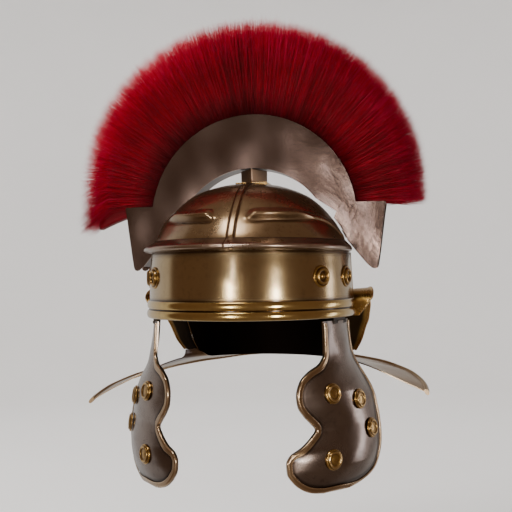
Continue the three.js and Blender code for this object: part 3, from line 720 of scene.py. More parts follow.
class Metals:
    """Every metal of the helmet, built once."""

    BOWL = MetalFinish(
        "bowl_brass", "bowl_brass", (0.07, 0.026, 0.012), (0.3, 0.19, 0.1), (0.47, 0.33, 0.19),
        (0.66, 0.48, 0.29), gloss=0.24, dull=0.38, tarnish=0.8, clouds=12.0,
    )
    BAND = MetalFinish(
        "band_brass", "band_brass", (0.06, 0.03, 0.012), (0.4, 0.27, 0.12), (0.52, 0.38, 0.2),
        (0.75, 0.55, 0.28), gloss=0.17, dull=0.24, tarnish=0.5, lacquer=0.5,
    )
    GUARD = MetalFinish(
        "guard_brass", "band_brass", (0.06, 0.028, 0.016), (0.26, 0.175, 0.125), (0.4, 0.3, 0.23),
        (0.66, 0.5, 0.38), gloss=0.24, dull=0.36, tarnish=0.7,
    )
    GOLD = MetalFinish(
        "gold_brass", "gold_brass", (0.07, 0.03, 0.008), (0.4, 0.22, 0.05), (0.56, 0.34, 0.1),
        (0.8, 0.55, 0.24), gloss=0.2, dull=0.34, tarnish=0.7,
    )
    TRIM = MetalFinish(
        "trim_brass", "gold_brass", (0.06, 0.03, 0.014), (0.26, 0.15, 0.07), (0.4, 0.26, 0.14),
        (0.74, 0.55, 0.36), gloss=0.22, dull=0.36, tarnish=0.75,
    )
    CHEEK = MetalFinish(
        "cheek_metal", "cheek_metal", (0.04, 0.023, 0.015), (0.16, 0.112, 0.088), (0.29, 0.225, 0.19),
        (0.6, 0.45, 0.33), gloss=0.21, dull=0.32, tarnish=0.8, clouds=9.0,
    )
    CREST = MetalFinish(
        "crest_bronze", "crest_bronze", (0.06, 0.038, 0.03), (0.14, 0.093, 0.076), (0.2, 0.137, 0.113),
        (0.9, 0.6, 0.43), gloss=0.19, dull=0.27, tarnish=0.6, dents=0.055, scratched=0.4, lacquer=0.2,
    )
    # The crest bronze made lighter for the post: painted light on a post that stands in the crest's shadow
    POST = MetalFinish(
        "post_bronze_lightened", "crest_bronze", (0.1, 0.06, 0.04), (0.42, 0.28, 0.19), (0.6, 0.42, 0.3),
        (0.7, 0.5, 0.36), gloss=0.38, dull=0.5, lacquer=0.0,
    )
    BEAD = MetalFinish(
        "bead_brass", "band_brass", (0.03, 0.014, 0.005), (0.42, 0.26, 0.07), (0.6, 0.41, 0.14),
        (0.8, 0.58, 0.24), gloss=0.15, dull=0.24, tarnish=0.5, lacquer=0.5,
    )
    DARK = MetalFinish(
        "dark_metal", "dark_metal", (0.01, 0.008, 0.007), (0.04, 0.03, 0.025), (0.08, 0.065, 0.055),
        (0.25, 0.18, 0.13), gloss=0.4, dull=0.55, lacquer=0.0,
    )

    def __init__(self, effects: Effects) -> None:
        """Builds the materials from their finishes."""
        finishes = (
            self.BOWL, self.BAND, self.BEAD, self.GUARD, self.GOLD, self.TRIM, self.CHEEK, self.CREST,
            self.POST, self.DARK,
        )
        self.made = {finish.name: finish.build(effects) for finish in finishes}

    def finish_piece(
        self, obj: bpy.types.Object, finish: MetalFinish, body: Body, node: str, sharp: float
    ) -> None:
        """Dresses a piece and lets it ride on a body and stand for its node.

        Args:
            obj: The piece.
            finish: Its finish.
            body: The body that it rides on.
            node: The node that it stands for.
            sharp: Edges sharper than this many degrees stay sharp in the shading.
        """
        obj.data.set_sharp_from_angle(angle=math.radians(sharp))
        settle(obj, self.made[finish.name], body, node)

    def piece(
        self, name: str, patches: list[Patch], finish: MetalFinish, body: Body, node: str, sharp: float
    ) -> None:
        """Makes a piece of patches and finishes it, as finish_piece does."""
        self.finish_piece(merge_patches(name, patches), finish, body, node, sharp)


def settle(obj: bpy.types.Object, material: bpy.types.Material, body: Body, node: str) -> None:
    """Gives a piece its material and lets it ride on a body and stand for its node.

    Args:
        obj: The piece.
        material: Its material.
        body: The body that it rides on.
        node: The node that it stands for.
    """
    obj.data.materials.append(material)
    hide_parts(node)
    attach(obj, body.value)
    LOG.info("%s: %d corners on %s", obj.name, len(obj.data.vertices), body.value)


# The helmet's pieces


@dataclass
class BowlForm:
    """The bowl's oval and its profile, in millimetres.

    Attributes:
        half_width: Half of the outer width at the rim.
        half_length: Half of the outer length at the rim.
        height: Height of the apex over the rim.
        wall: Thickness of the sheet.
        nape: How far the back reaches below the rim.
        seam: Gap between pieces that touch.
        arch_height: Height of the ear arch over the rim.
        lip: How far the sheet's edge shows below an ear guard's root.
    """

    half_width: float = 100.5
    half_length: float = 118.5
    height: float = 133.0
    wall: float = 1.2
    nape: float = 50.0
    seam: float = 0.3
    arch_height: float = 26.0
    lip: float = 1.6

    def __post_init__(self) -> None:
        """Makes the smooth curves from short tables of shares."""
        up = [-0.4, 0, 0.47, 0.56, 0.65, 0.76, 0.83, 0.9, 0.95, 0.985, 1.0]
        out = [0.985, 1, 0.978, 0.95, 0.893, 0.788, 0.7, 0.583, 0.44, 0.25, 0.0]
        reach = np.hypot(np.diff(np.array(up) * self.height), np.diff(np.array(out) * self.half_width))
        self.travel = np.concatenate([[0], np.cumsum(reach)])
        self.up_along = SmoothTable(list(self.travel), up)
        self.out_along = SmoothTable(list(self.travel), out)
        fine = np.linspace(0, self.travel[-1], 900)
        self.fine_travel = fine
        self.fine_up = self.up_along(fine)
        self.fine_out = self.out_along(fine)
        at = [96.6, 97.4, 99.3, 103, 108, 113, 117, 119.5, 121.3, 123, 126, 130]
        rise = [-0.02, 0.34, 0.66, 0.9, 1, 0.93, 0.64, 0.2, -0.14, -0.3, -0.6, -0.84]
        flange = [0.3, 0.66, 0.9, 0.95, 0.96, 0.98, 1.13, 1.27, 1.27, 1.22, 1.16, 1.1]
        level = [r * self.arch_height if r > 0 else r * self.nape for r in rise]
        self.arch_at = at
        self.arch_level = SmoothTable(at, level)
        self.arch_reach = SmoothTable(at, flange)

    @property
    def mean_half(self) -> float:
        """The mean of the oval's two halves."""
        return (self.half_width + self.half_length) / 2

    def travel_at(self, z: np.ndarray) -> np.ndarray:
        """How far along the profile heights over the rim are reached."""
        return np.interp(np.asarray(z) / self.height, self.fine_up, self.fine_travel)

    def out(self, z: np.ndarray | float) -> np.ndarray:
        """The oval's size at a height, as a share of its size at the rim."""
        return np.interp(np.asarray(z, dtype=float) / self.height, self.fine_up, self.fine_out)

    def oval(self, azimuth: np.ndarray, z: np.ndarray | float, grow: np.ndarray | float = 0.0) -> np.ndarray:
        """Points of the oval at azimuths in degrees from the front, at a height, moved outward.

        Args:
            azimuth: Degrees from the front, rising to the wearer's left.
            z: Height over the rim.
            grow: Distance outside the bowl's outer face.

        Returns:
            Points with a last axis of three.
        """
        azimuth, z, grow = np.broadcast_arrays(np.radians(azimuth), z, grow)
        share = self.out(z)
        x = (self.half_width * share + grow) * np.sin(azimuth)
        y = -(self.half_length * share + grow) * np.cos(azimuth)
        return np.stack([x, y, z], axis=-1)

    def hanging(self, azimuth: np.ndarray, z: np.ndarray | float, grow: np.ndarray | float) -> np.ndarray:
        """Points of the rim's oval carried straight to another height.

        Args:
            azimuth: Degrees from the front.
            z: Height over the rim.
            grow: Distance outside the bowl's outer face.

        Returns:
            Points with a last axis of three.
        """
        points = self.oval(azimuth, 0.0 * np.asarray(z, dtype=float), grow)
        points[..., 2] = z
        return points

    def edge(self, azimuth: np.ndarray) -> np.ndarray:
        """The height of the bowl's lower edge.

        Args:
            azimuth: Degrees from the front.

        Returns:
            The height over the rim at each azimuth.
        """
        turn = np.abs((azimuth + 180) % 360 - 180)
        arch = self.arch_level(turn) - self.lip
        back = -self.nape * (0.87 + 0.13 * ease(turn, 130, 138))
        level = np.where(turn < self.arch_at[0], 0.0, arch)
        return np.where(turn > self.arch_at[-1], back, level)


FORM = BowlForm()


@dataclass
class Bowl:
    """The beaten bowl with its rib and eyebrows, and the neck guard that grows from its nape.

    Attributes:
        brow_lift: How far an eyebrow stands out.
        brow_level: Height of the eyebrow's ridge.
        rib_half: Half of the rib's width.
        rib_lift: How far the rib stands out.
        rib_foot: How far the rib's foot lies to the wearer's left.
        rib_top: How far its top lies to the wearer's left.
        guard_side: Half of the neck guard's width.
        guard_back: How far back the neck guard reaches.
        tip_at: Where the neck guard's tips lie along Y.
        root_end: Degrees from the front to each end of the neck guard's root.
        lift: How far the neck guard's middle lies above the nape's edge.
        droop_side: How far the tips hang below the nape.
        droop_back: How far the back edge hangs below the nape.
        lean: How much lower than even the tip on the wearer's right is bent.
        shift: How far the tips are bent toward the wearer's right.
        roll: Radius of the rolled edge.
    """

    brow_lift: float = 5.6
    brow_level: float = 97.5
    rib_half: float = 2.5
    rib_lift: float = 1.3
    rib_foot: float = 3.0
    rib_top: float = 4.5
    guard_side: float = 187.5
    guard_back: float = 184.0
    tip_at: float = 50.0
    root_end: float = 119.0
    lift: float = 1.2
    droop_side: float = 43.0
    droop_back: float = 4.0
    lean: float = 7.5
    shift: float = 10.5
    roll: float = 2.2

    def relief(self, azimuth: np.ndarray, points: np.ndarray) -> tuple[np.ndarray, np.ndarray]:
        """The raised work on the dome.

        Args:
            azimuth: Degrees from the front at each point.
            points: The dome's points before the relief.

        Returns:
            The lift at each point, and a mask of painted shade in the creases beside raised work.
        """
        x, z = points[..., 0], points[..., 2]
        turn = np.abs((azimuth + 180) % 360 - 180)
        turns = [0, 12, 30, 45, 56, 64, 72, 79, 84, 89]
        ridge = SmoothTable(turns, [-3.4, -3.2, -2.6, -1.6, -1.5, -2.8, -6.4, -12, -16.5, -21])
        level = self.brow_level + ridge(turn)
        strength = ease(turn, 9, 15) * (1 - ease(turn, 85, 90))
        strength *= 0.26 + 0.74 * (1 - ease(turn, 40, 58))
        off = z - level
        size = 7.0 * np.clip(ease(turn, 8, 15) * (1 - 0.6 * ease(turn, 34, 60)), 0.15, 1)
        above = (1 - 0.5 * np.clip(off / size, 0, 1)) * (1 - ease(off / size, 0.7, 1.2))
        below = 1 - ease(-off, 0.8, 3.2)
        brow = np.where(off > 0, above, below) * strength
        crease_line = bell(off + 4.2, 1.7) * strength
        rib_start = 75
        span = (z - rib_start) / (FORM.height - rib_start)
        middle = self.rib_foot + (self.rib_top - self.rib_foot) * span
        away = np.abs(x - middle)
        front = (points[..., 1] < 6) * ease(z, 70, 76)
        rib = (1 - ease(away, self.rib_half - 0.6, self.rib_half + 0.5)) * front
        groove = bell(away - self.rib_half - 0.9, 0.75) * front
        lift = self.brow_lift * brow - 1.0 * crease_line + self.rib_lift * rib - 0.7 * groove
        lift = lift + 0.22 * ripple(x, points[..., 1], z, 34.0, 5) * ease(z, 40, 70)
        # Painted shade under the eyebrows and in the grooves beside the rib
        hollow = np.clip(0.75 * crease_line + 0.95 * groove, 0, 1)
        return lift, hollow

    def shell(self) -> Patch:
        """The bowl's own shell, with its relief outside and a plain inside."""
        turns = (
            (-93, -6, 66), (-5.4, 5.4, 49), (6, 93, 66), (95, 104, 20), (105.2, 115, 7), (116, 131.5, 26),
            (133.5, 226.5, 36), (228.5, 244, 26), (245, 254.8, 7), (256, 265, 20),
        )
        azimuth = np.concatenate([np.linspace(*turn) for turn in turns])
        spans = ((62.5, 84, 24), (84.6, 106, 44), (107, 131.6, 34))
        rows = np.concatenate([np.linspace(*FORM.travel_at(span[:2]), span[2]) for span in spans])
        rows = np.concatenate([rows, np.linspace(rows[-1], FORM.travel[-1], 16)[1:-1]])
        level = FORM.up_along(rows) * FORM.height
        out = FORM.out_along(rows)
        edge = FORM.edge(azimuth)
        low_top = 62.0
        low = np.linspace(0, 1, 26)[:-1, None]
        low_z = edge[None, :] + low * (low_top - edge[None, :])
        lower = FORM.oval(azimuth[None, :], low_z)
        x = FORM.half_width * out[:, None] * np.sin(np.radians(azimuth))
        y = -FORM.half_length * out[:, None] * np.cos(np.radians(azimuth))
        upper = np.stack([x, y, np.repeat(level[:, None], len(azimuth), axis=1)], axis=-1)
        points = np.concatenate([lower, upper])
        normal = self.normals(points)
        lift, hollow = self.relief(np.broadcast_to(azimuth, points.shape[:2]), points)
        outer = points + normal * lift[..., None]
        coarse = 5
        inner = (points - normal * FORM.wall)[::coarse]
        face = np.arange(outer[..., 0].size).reshape(outer.shape[:2])
        back = np.arange(inner[..., 0].size).reshape(inner.shape[:2]) + face.size
        tips = np.full(outer.shape[1], face.size + back.size)
        quads = [cells(face, True), cells(back, True)[:, ::-1], cells(np.stack([back[0], face[0]]), True)]
        quads.append(np.stack([face[-1], np.roll(face[-1], -1), tips, tips], axis=-1))
        quads.append(np.stack([np.roll(back[-1], -1), back[-1], tips + 1, tips + 1], axis=-1))
        ends = np.array([[0, 0, FORM.height], [0, 0, FORM.height - FORM.wall]])
        rim = np.concatenate([bell(low_z - edge[None, :], 1.2), np.zeros(upper.shape[:2])])
        masks = {
            "hollow": np.concatenate([hollow.ravel(), np.zeros(back.size + 2)]),
            "edge": np.concatenate([rim.ravel(), np.zeros(back.size + 2)]),
            # The inner face is marked for painted shade
            "inside": np.concatenate([np.zeros(face.size), np.ones(back.size), [0, 1]]),
        }
        corners = np.concatenate([outer.reshape(-1, 3), inner.reshape(-1, 3), ends])
        return Patch(corners, np.concatenate(quads), masks)

    @staticmethod
    def normals(points: np.ndarray) -> np.ndarray:
        """Outward normals of a grid that closes on itself along its columns.

        Args:
            points: Points by row and column.

        Returns:
            A unit vector at each point.
        """
        wide = np.concatenate([points[:, -1:], points, points[:, :1]], axis=1)
        across = wide[:, 2:] - wide[:, :-2]
        upward = np.gradient(points, axis=0)
        normal = np.cross(across, upward)
        normal /= np.maximum(np.linalg.norm(normal, axis=-1, keepdims=True), 1e-9)
        flip = np.sign(np.sum(normal[..., :2] * points[..., :2], axis=-1, keepdims=True))
        return normal * np.where(flip == 0, 1, flip)

    def neck_guard(self) -> Patch:
        """The broad guard behind the neck, from a fillet on the nape to a rolled edge."""
        turns = np.linspace(-90, 90, 121)
        side = np.abs(turns) / 90
        azimuth = 180 - turns * ((180 - self.root_end) / 90)
        top = FORM.oval(azimuth, -FORM.nape + 9.0, 0.15)
        root = FORM.oval(azimuth, -FORM.nape - 0.2, 0.2)
        edge_x = self.guard_side * np.sin(np.radians(turns)) - self.shift
        edge_y = self.tip_at + (self.guard_back - self.tip_at) * np.cos(np.radians(turns))
        droop = self.droop_back + (self.droop_side - self.droop_back) * side**1.6
        droop = droop - self.lean * np.sin(np.radians(turns))
        shares = np.concatenate([np.linspace(0.07, 0.94, 26), np.linspace(0.95, 1, 9)])
        swell = np.concatenate([np.zeros(26), np.sin(np.linspace(0.15, 1, 9) * math.pi) ** 0.6 * self.roll])
        x = root[:, 0] + (edge_x - root[:, 0]) * shares[:, None]
        y = root[:, 1] + (edge_y - root[:, 1]) * shares[:, None]
        z = self.lift - FORM.nape - droop * shares[:, None] ** 1.25
        z = z + 0.3 * ripple(x, y, z, 42.0, 11) * ease(shares[:, None], 0.1, 0.3)
        flat = np.stack([x, y, z], axis=-1)
        step = np.linspace(0, 1, 9)[:-1, None, None]
        fillet = (1 - step) ** 2 * top + 2 * step * (1 - step) * root + step**2 * flat[0]
        middle = np.concatenate([fillet, flat])
        swell = np.concatenate([np.zeros(8), swell])[:, None]
        rise = np.array([0.0, 0.0, 1.0])
        outer = middle + (FORM.wall / 2 + swell)[..., None] * rise
        inner = middle - (FORM.wall / 2 + swell)[..., None] * rise
        rim = np.concatenate([np.zeros(8), ease(shares, 0.93, 0.96)])[:, None] * np.ones(len(turns))
        leading = bell(90 - np.abs(turns), 1.4)[None, :] * np.ones((len(rim), 1))
        # Painted shade on the upper face near the root and over the fillet, strongest at the sides
        side_shade = bell(90 - np.abs(turns), 24) * 0.95
        dark = np.concatenate([np.ones(8), 1 - ease(shares, 0.22, 0.42)])[:, None] * side_shade[None, :]
        worn = np.clip(0.3 * rim + 0.15 * leading, 0, 1) * (1 - dark)
        return wall(outer, inner, {"edge": worn, "hollow": dark})

    def build(self, metals: Metals) -> None:
        """Makes and dresses the bowl."""
        patches = [self.shell(), self.neck_guard()]
        metals.piece("helmet_bowl", patches, Metals.BOWL, Body.ROOT, "bowl", sharp=50)


def swept(profile: np.ndarray, azimuth: np.ndarray, grow: np.ndarray, masks: dict[str, np.ndarray]) -> Patch:
    """A strip that follows the bowl's front, from heights and distances outside the bowl.

    Args:
        profile: The height of each row.
        azimuth: Degrees from the front of each column.
        grow: Distance outside the bowl by row and column.
        masks: Values by row and column.

    Returns:
        One closed patch.
    """
    outer = FORM.oval(azimuth[None, :], profile[:, None], FORM.seam + grow)
    inner = FORM.oval(azimuth[None, :], profile[:, None], FORM.seam)
    return wall(outer, inner, masks)


@dataclass
class BrowBand:
    """The band round the front with two beads at its foot.

    Attributes:
        thick: The sheet's thickness.
        top: Height of the upper edge.
        end: Degrees from the front to each end.
        bead: Height of one bead.
        bulge: How far a bead stands out.
        gap: Height of the groove between the beads.
    """

    thick: float = 1.2
    top: float = 63.0
    end: float = 94.5
    bead: float = 8.2
    bulge: float = 2.7
    gap: float = 0.7

    def build(self, metals: Metals) -> None:
        """Makes and dresses the band.

        Args:
            metals: The metals.
        """
        turn = np.linspace(0, math.pi, 15)
        beads = [(0.0, 1.0), (self.bead + self.gap, 0.86)]
        heights, grow, hollow, worn = [], [], [], []
        for start, size in beads:
            heights.append(start + self.bead * (1 - np.cos(turn)) / 2)
            grow.append(self.thick + self.bulge * size * np.sin(turn) ** 0.75)
            # Painted shade in the grooves at each bead's edges
            hollow.append(bell(np.sin(turn), 0.3))
            worn.append(np.sin(turn) ** 6 * 0.5)
        plain = np.linspace(2 * self.bead + self.gap + 0.5, self.top - 0.6, 22)
        heights.append(np.append(plain, self.top))
        grow.append(np.append(np.full(22, self.thick), self.thick * 0.6))
        # Painted shade in the groove above the beads, and a painted shadow under the brow guard along the
        # top
        hollow.append(np.append(0.95 * bell(plain - plain[0], 1.6) + 0.9 * bell(plain - self.top, 4.0), 0.4))
        worn.append(np.zeros(23))
        profile = np.concatenate(heights)
        azimuth = np.concatenate([
            [-self.end, -self.end + 0.4], np.linspace(-93.2, 93.2, 150), [self.end - 0.4, self.end],
        ])
        turned = 0.9 * ease(np.abs(azimuth), 92.6, 93.6) * (1 - ease(np.abs(azimuth), 94.1, 94.5))
        outward = np.concatenate(grow)[:, None] + turned[None, :]
        outward = outward + 0.1 * ripple(azimuth[None, :], profile[:, None], 0 * outward, 30.0, 3)
        masks = {
            "hollow": np.clip(np.concatenate(hollow)[:, None] * np.ones(len(azimuth)), 0, 1),
            "edge": np.clip(np.concatenate(worn)[:, None] + turned[None, :] * 0.7, 0, 1),
        }
        split = 2 * len(turn)
        for name, rows, finish in (
            ("brow_beads", slice(0, split), Metals.BEAD),
            ("brow_band_smooth", slice(split - 1, None), Metals.BAND),
        ):
            parts = {key: mask[rows] for key, mask in masks.items()}
            patch = swept(profile[rows], azimuth, outward[rows], parts)
            metals.piece(name, [patch], finish, Body.ROOT, "brow_band", sharp=40)


@dataclass
class BrowGuard:
    """The ridge that juts out over the brow and dies away toward the ears.

    Attributes:
        reach: How far it juts out at the front.
        base: Height of its lower edge.
        height: Height of the whole ridge.
        end: Degrees from the front to each end.
    """

    reach: float = 15.0
    base: float = 63.3
    height: float = 11.5
    end: float = 96.0

    def build(self, metals: Metals) -> None:
        """Makes and dresses the guard.

        Args:
            metals: The metals.
        """
        table_up = [0, 0.04, 0.1, 0.2, 0.32, 0.42, 0.52, 0.68, 0.86, 1.0]
        table_out = [0.2, 0.62, 0.86, 0.97, 1.0, 0.97, 0.86, 0.6, 0.3, 0.08]
        shape = SmoothTable(table_up, table_out)
        up = np.concatenate([np.linspace(0, 0.5, 22), np.linspace(0.53, 1, 14)])
        turns = ((-self.end, -1.6, 84), (-1.3, 1.3, 15), (1.6, self.end, 84))
        azimuth = np.concatenate([np.linspace(*turn) for turn in turns])
        narrow = 0.14 + 0.86 * np.cos(np.radians(azimuth / self.end * 90)) ** 0.75
        rounded = 1 - 0.75 * ease(np.abs(azimuth), 93, 96) ** 2
        grow = self.reach * shape(up)[:, None] * (narrow * rounded)[None, :]
        seam = bell(azimuth, 0.28)[None, :] * ease(up, 0.05, 0.2)[:, None]
        grow = grow - 0.9 * seam
        profile = self.base + up * self.height
        grow = grow + 0.12 * ripple(azimuth[None, :], profile[:, None] * 2, 0 * grow, 24.0, 8)
        nose = bell((up - 0.33)[:, None], 0.16) * np.ones(len(azimuth))
        root = bell((up - 1.0)[:, None], 0.12) * np.ones(len(azimuth))
        # Painted shade where the guard meets the dome and in its seam
        masks = {"edge": 0.55 * nose, "hollow": np.clip(0.9 * root + 0.9 * seam, 0, 1)}
        patch = swept(profile, azimuth, np.maximum(grow, 0.2), masks)
        metals.piece("brow_guard_smooth", [patch], Metals.GUARD, Body.ROOT, "brow_guard", sharp=50)


@dataclass
class EarGuard:
    """The arched flange over an ear opening.

    Attributes:
        reach: How far it stands out at its widest.
        thick: The sheet's thickness.
        cup: How far its rim is bent up.
    """

    reach: float = 25.0
    thick: float = 1.3
    cup: float = 1.5

    def build(self, metals: Metals, side: Side) -> None:
        """Makes and dresses one ear guard.

        Args:
            metals: The metals.
            side: The side that it stands on.
        """
        spans = ((96.6, 104, 34), (104.5, 116, 22), (116.4, 130, 44))
        at = np.concatenate([np.linspace(*span) for span in spans])
        level = FORM.arch_level(at)
        start = FORM.hanging(at, level, FORM.seam)
        outward = unit(FORM.hanging(at, 0.0, 1.0) - FORM.hanging(at, 0.0, 0.0))
        inward = unit(np.cross(unit(np.gradient(start, axis=0)), outward))
        inward = inward * np.where(inward[:, 2:].mean() > 0, -1.0, 1.0)
        shares = np.concatenate([np.linspace(0, 0.88, 12), np.linspace(0.9, 1, 7)])
        reach = FORM.arch_reach(at) * self.reach
        cup = self.cup * shares[:, None] ** 2 * ease(level, 0, 14)[None, :]
        middle = start[None] + shares[:, None, None] * reach[None, :, None] * outward[None]
        middle = middle + cup[..., None] * np.array([0, 0, 1.0])
        bulb = np.concatenate([np.zeros(12), 0.75 * np.sin(np.linspace(0.1, 1, 7) * math.pi) ** 0.6])
        lift = (self.thick / 2 + bulb)[:, None, None]
        centre = middle + inward[None] * (self.thick / 2)
        outer = centre - inward[None] * lift
        inner = centre + inward[None] * lift
        rim = ease(shares, 0.84, 0.93)[:, None] * np.ones(len(at))
        # Painted shade where the flange meets the bowl
        root = bell(shares, 0.12)[:, None] * np.ones(len(at))
        patch = wall(outer, inner, {"edge": 0.6 * rim, "hollow": 0.8 * root})
        # Painted shade on the inner face, strongest at the root and toward the back of the arch
        shade = (1 - ease(shares, 0.7, 0.9))[:, None] * (0.3 + 0.65 * ease(at, 107, 116))[None, :]
        patch.masks["inside"] = np.concatenate([np.zeros(rim.size), shade.ravel()])
        name = f"ear_guard_{side.word}"
        metals.piece(f"{name}_smooth", [on_side(patch, side)], Metals.GOLD, Body.ROOT, name, sharp=50)


@dataclass
class Boss:
    """A round boss with a rim ring round a dished middle.

    Attributes:
        radius: Outer radius.
        height: Height of the ring.
        sides: Corners round it.
    """

    radius: float = 10.4
    height: float = 4.2
    sides: int = 36

    def patch(self, ringed: bool) -> Patch:
        """The boss on its own XY plane.

        Args:
            ringed: Whether it has a second ring and a centre dot, as those on the band have.

        Returns:
            One closed patch.
        """
        # dark lays tarnish and painted shade in the grooves between the rings
        if ringed:
            out = [1, 1, 0.95, 0.86, 0.8, 0.76, 0.7, 0.6, 0.52, 0.46, 0.38, 0.26, 0.18, 0.1, 0]
            up = [0, 0.2, 0.34, 0.36, 0.3, 0.5, 0.82, 0.92, 0.8, 0.5, 0.42, 0.46, 0.62, 0.72, 0.74]
            dark = [0, 0, 0, 0.2, 0.95, 0.6, 0, 0, 0, 0.85, 0.95, 0.75, 0.2, 0, 0]
        else:
            out = [1, 1, 0.96, 0.9, 0.84, 0.78, 0.7, 0.64, 0.56, 0.42, 0.24, 0.1, 0]
            up = [0, 0.3, 0.5, 0.6, 0.62, 0.92, 1.0, 0.92, 0.66, 0.66, 0.74, 0.78, 0.79]
            dark = [0.3, 0.2, 0, 0.1, 0.9, 0.2, 0, 0.1, 0.75, 0.35, 0.15, 0.1, 0.1]
        place = np.linspace(0, len(out) - 1, (len(out) - 1) * 3 + 1)
        rows = np.arange(len(out))
        out, up, dark = (np.interp(place, rows, values) for values in (out, up, dark))
        profile = np.concatenate([[[0, 0]], np.stack([out * self.radius, up * self.height], 1)])
        hollow = np.concatenate([[0.5], dark])
        high = np.concatenate([[0], ease(up, 0.8, 0.95)])
        return lathe(profile, self.sides, {"hollow": hollow, "edge": high * 0.6})

    def build(self, metals: Metals, name: str, node: str, body: Body, ringed: bool) -> None:
        """Makes a boss on the place that its node has in the frame.

        Args:
            metals: The metals.
            name: The new piece's name.
            node: The node that it stands for.
            body: The body that it rides on.
            ringed: Whether it is one of the band's.
        """
        place, normal = seat_of(node)
        patch = self.patch(ringed)
        turn = Vector((0, 0, 1)).rotation_difference(Vector(normal)).to_matrix()
        patch.points = patch.points @ np.array(turn).T + place
        metals.piece(name, [patch], Metals.GOLD, body, node, sharp=60)


def seat_of(node: str) -> tuple[np.ndarray, np.ndarray]:
    """Where a boss of the frame stands and which way it faces.

    Args:
        node: The boss's node.

    Returns:
        The middle of its foot in millimetres and its unit normal.
    """
    mesh = FRAME["nodes"][node].data
    points = np.array([v.co[:] for v in mesh.vertices]) / MM
    corners = np.unique(np.round(points, 4), axis=0)
    centre = corners.mean(axis=0)
    _, _, axes = np.linalg.svd(corners - centre)
    normal = axes[2]
    heights = (corners - centre) @ normal
    base = corners[np.abs(heights - heights.min()) < 0.2]
    crown = corners[np.abs(heights - heights.max()) < 0.2]
    if len(base) < len(crown):
        normal, base = -normal, crown
    return base.mean(axis=0), normal


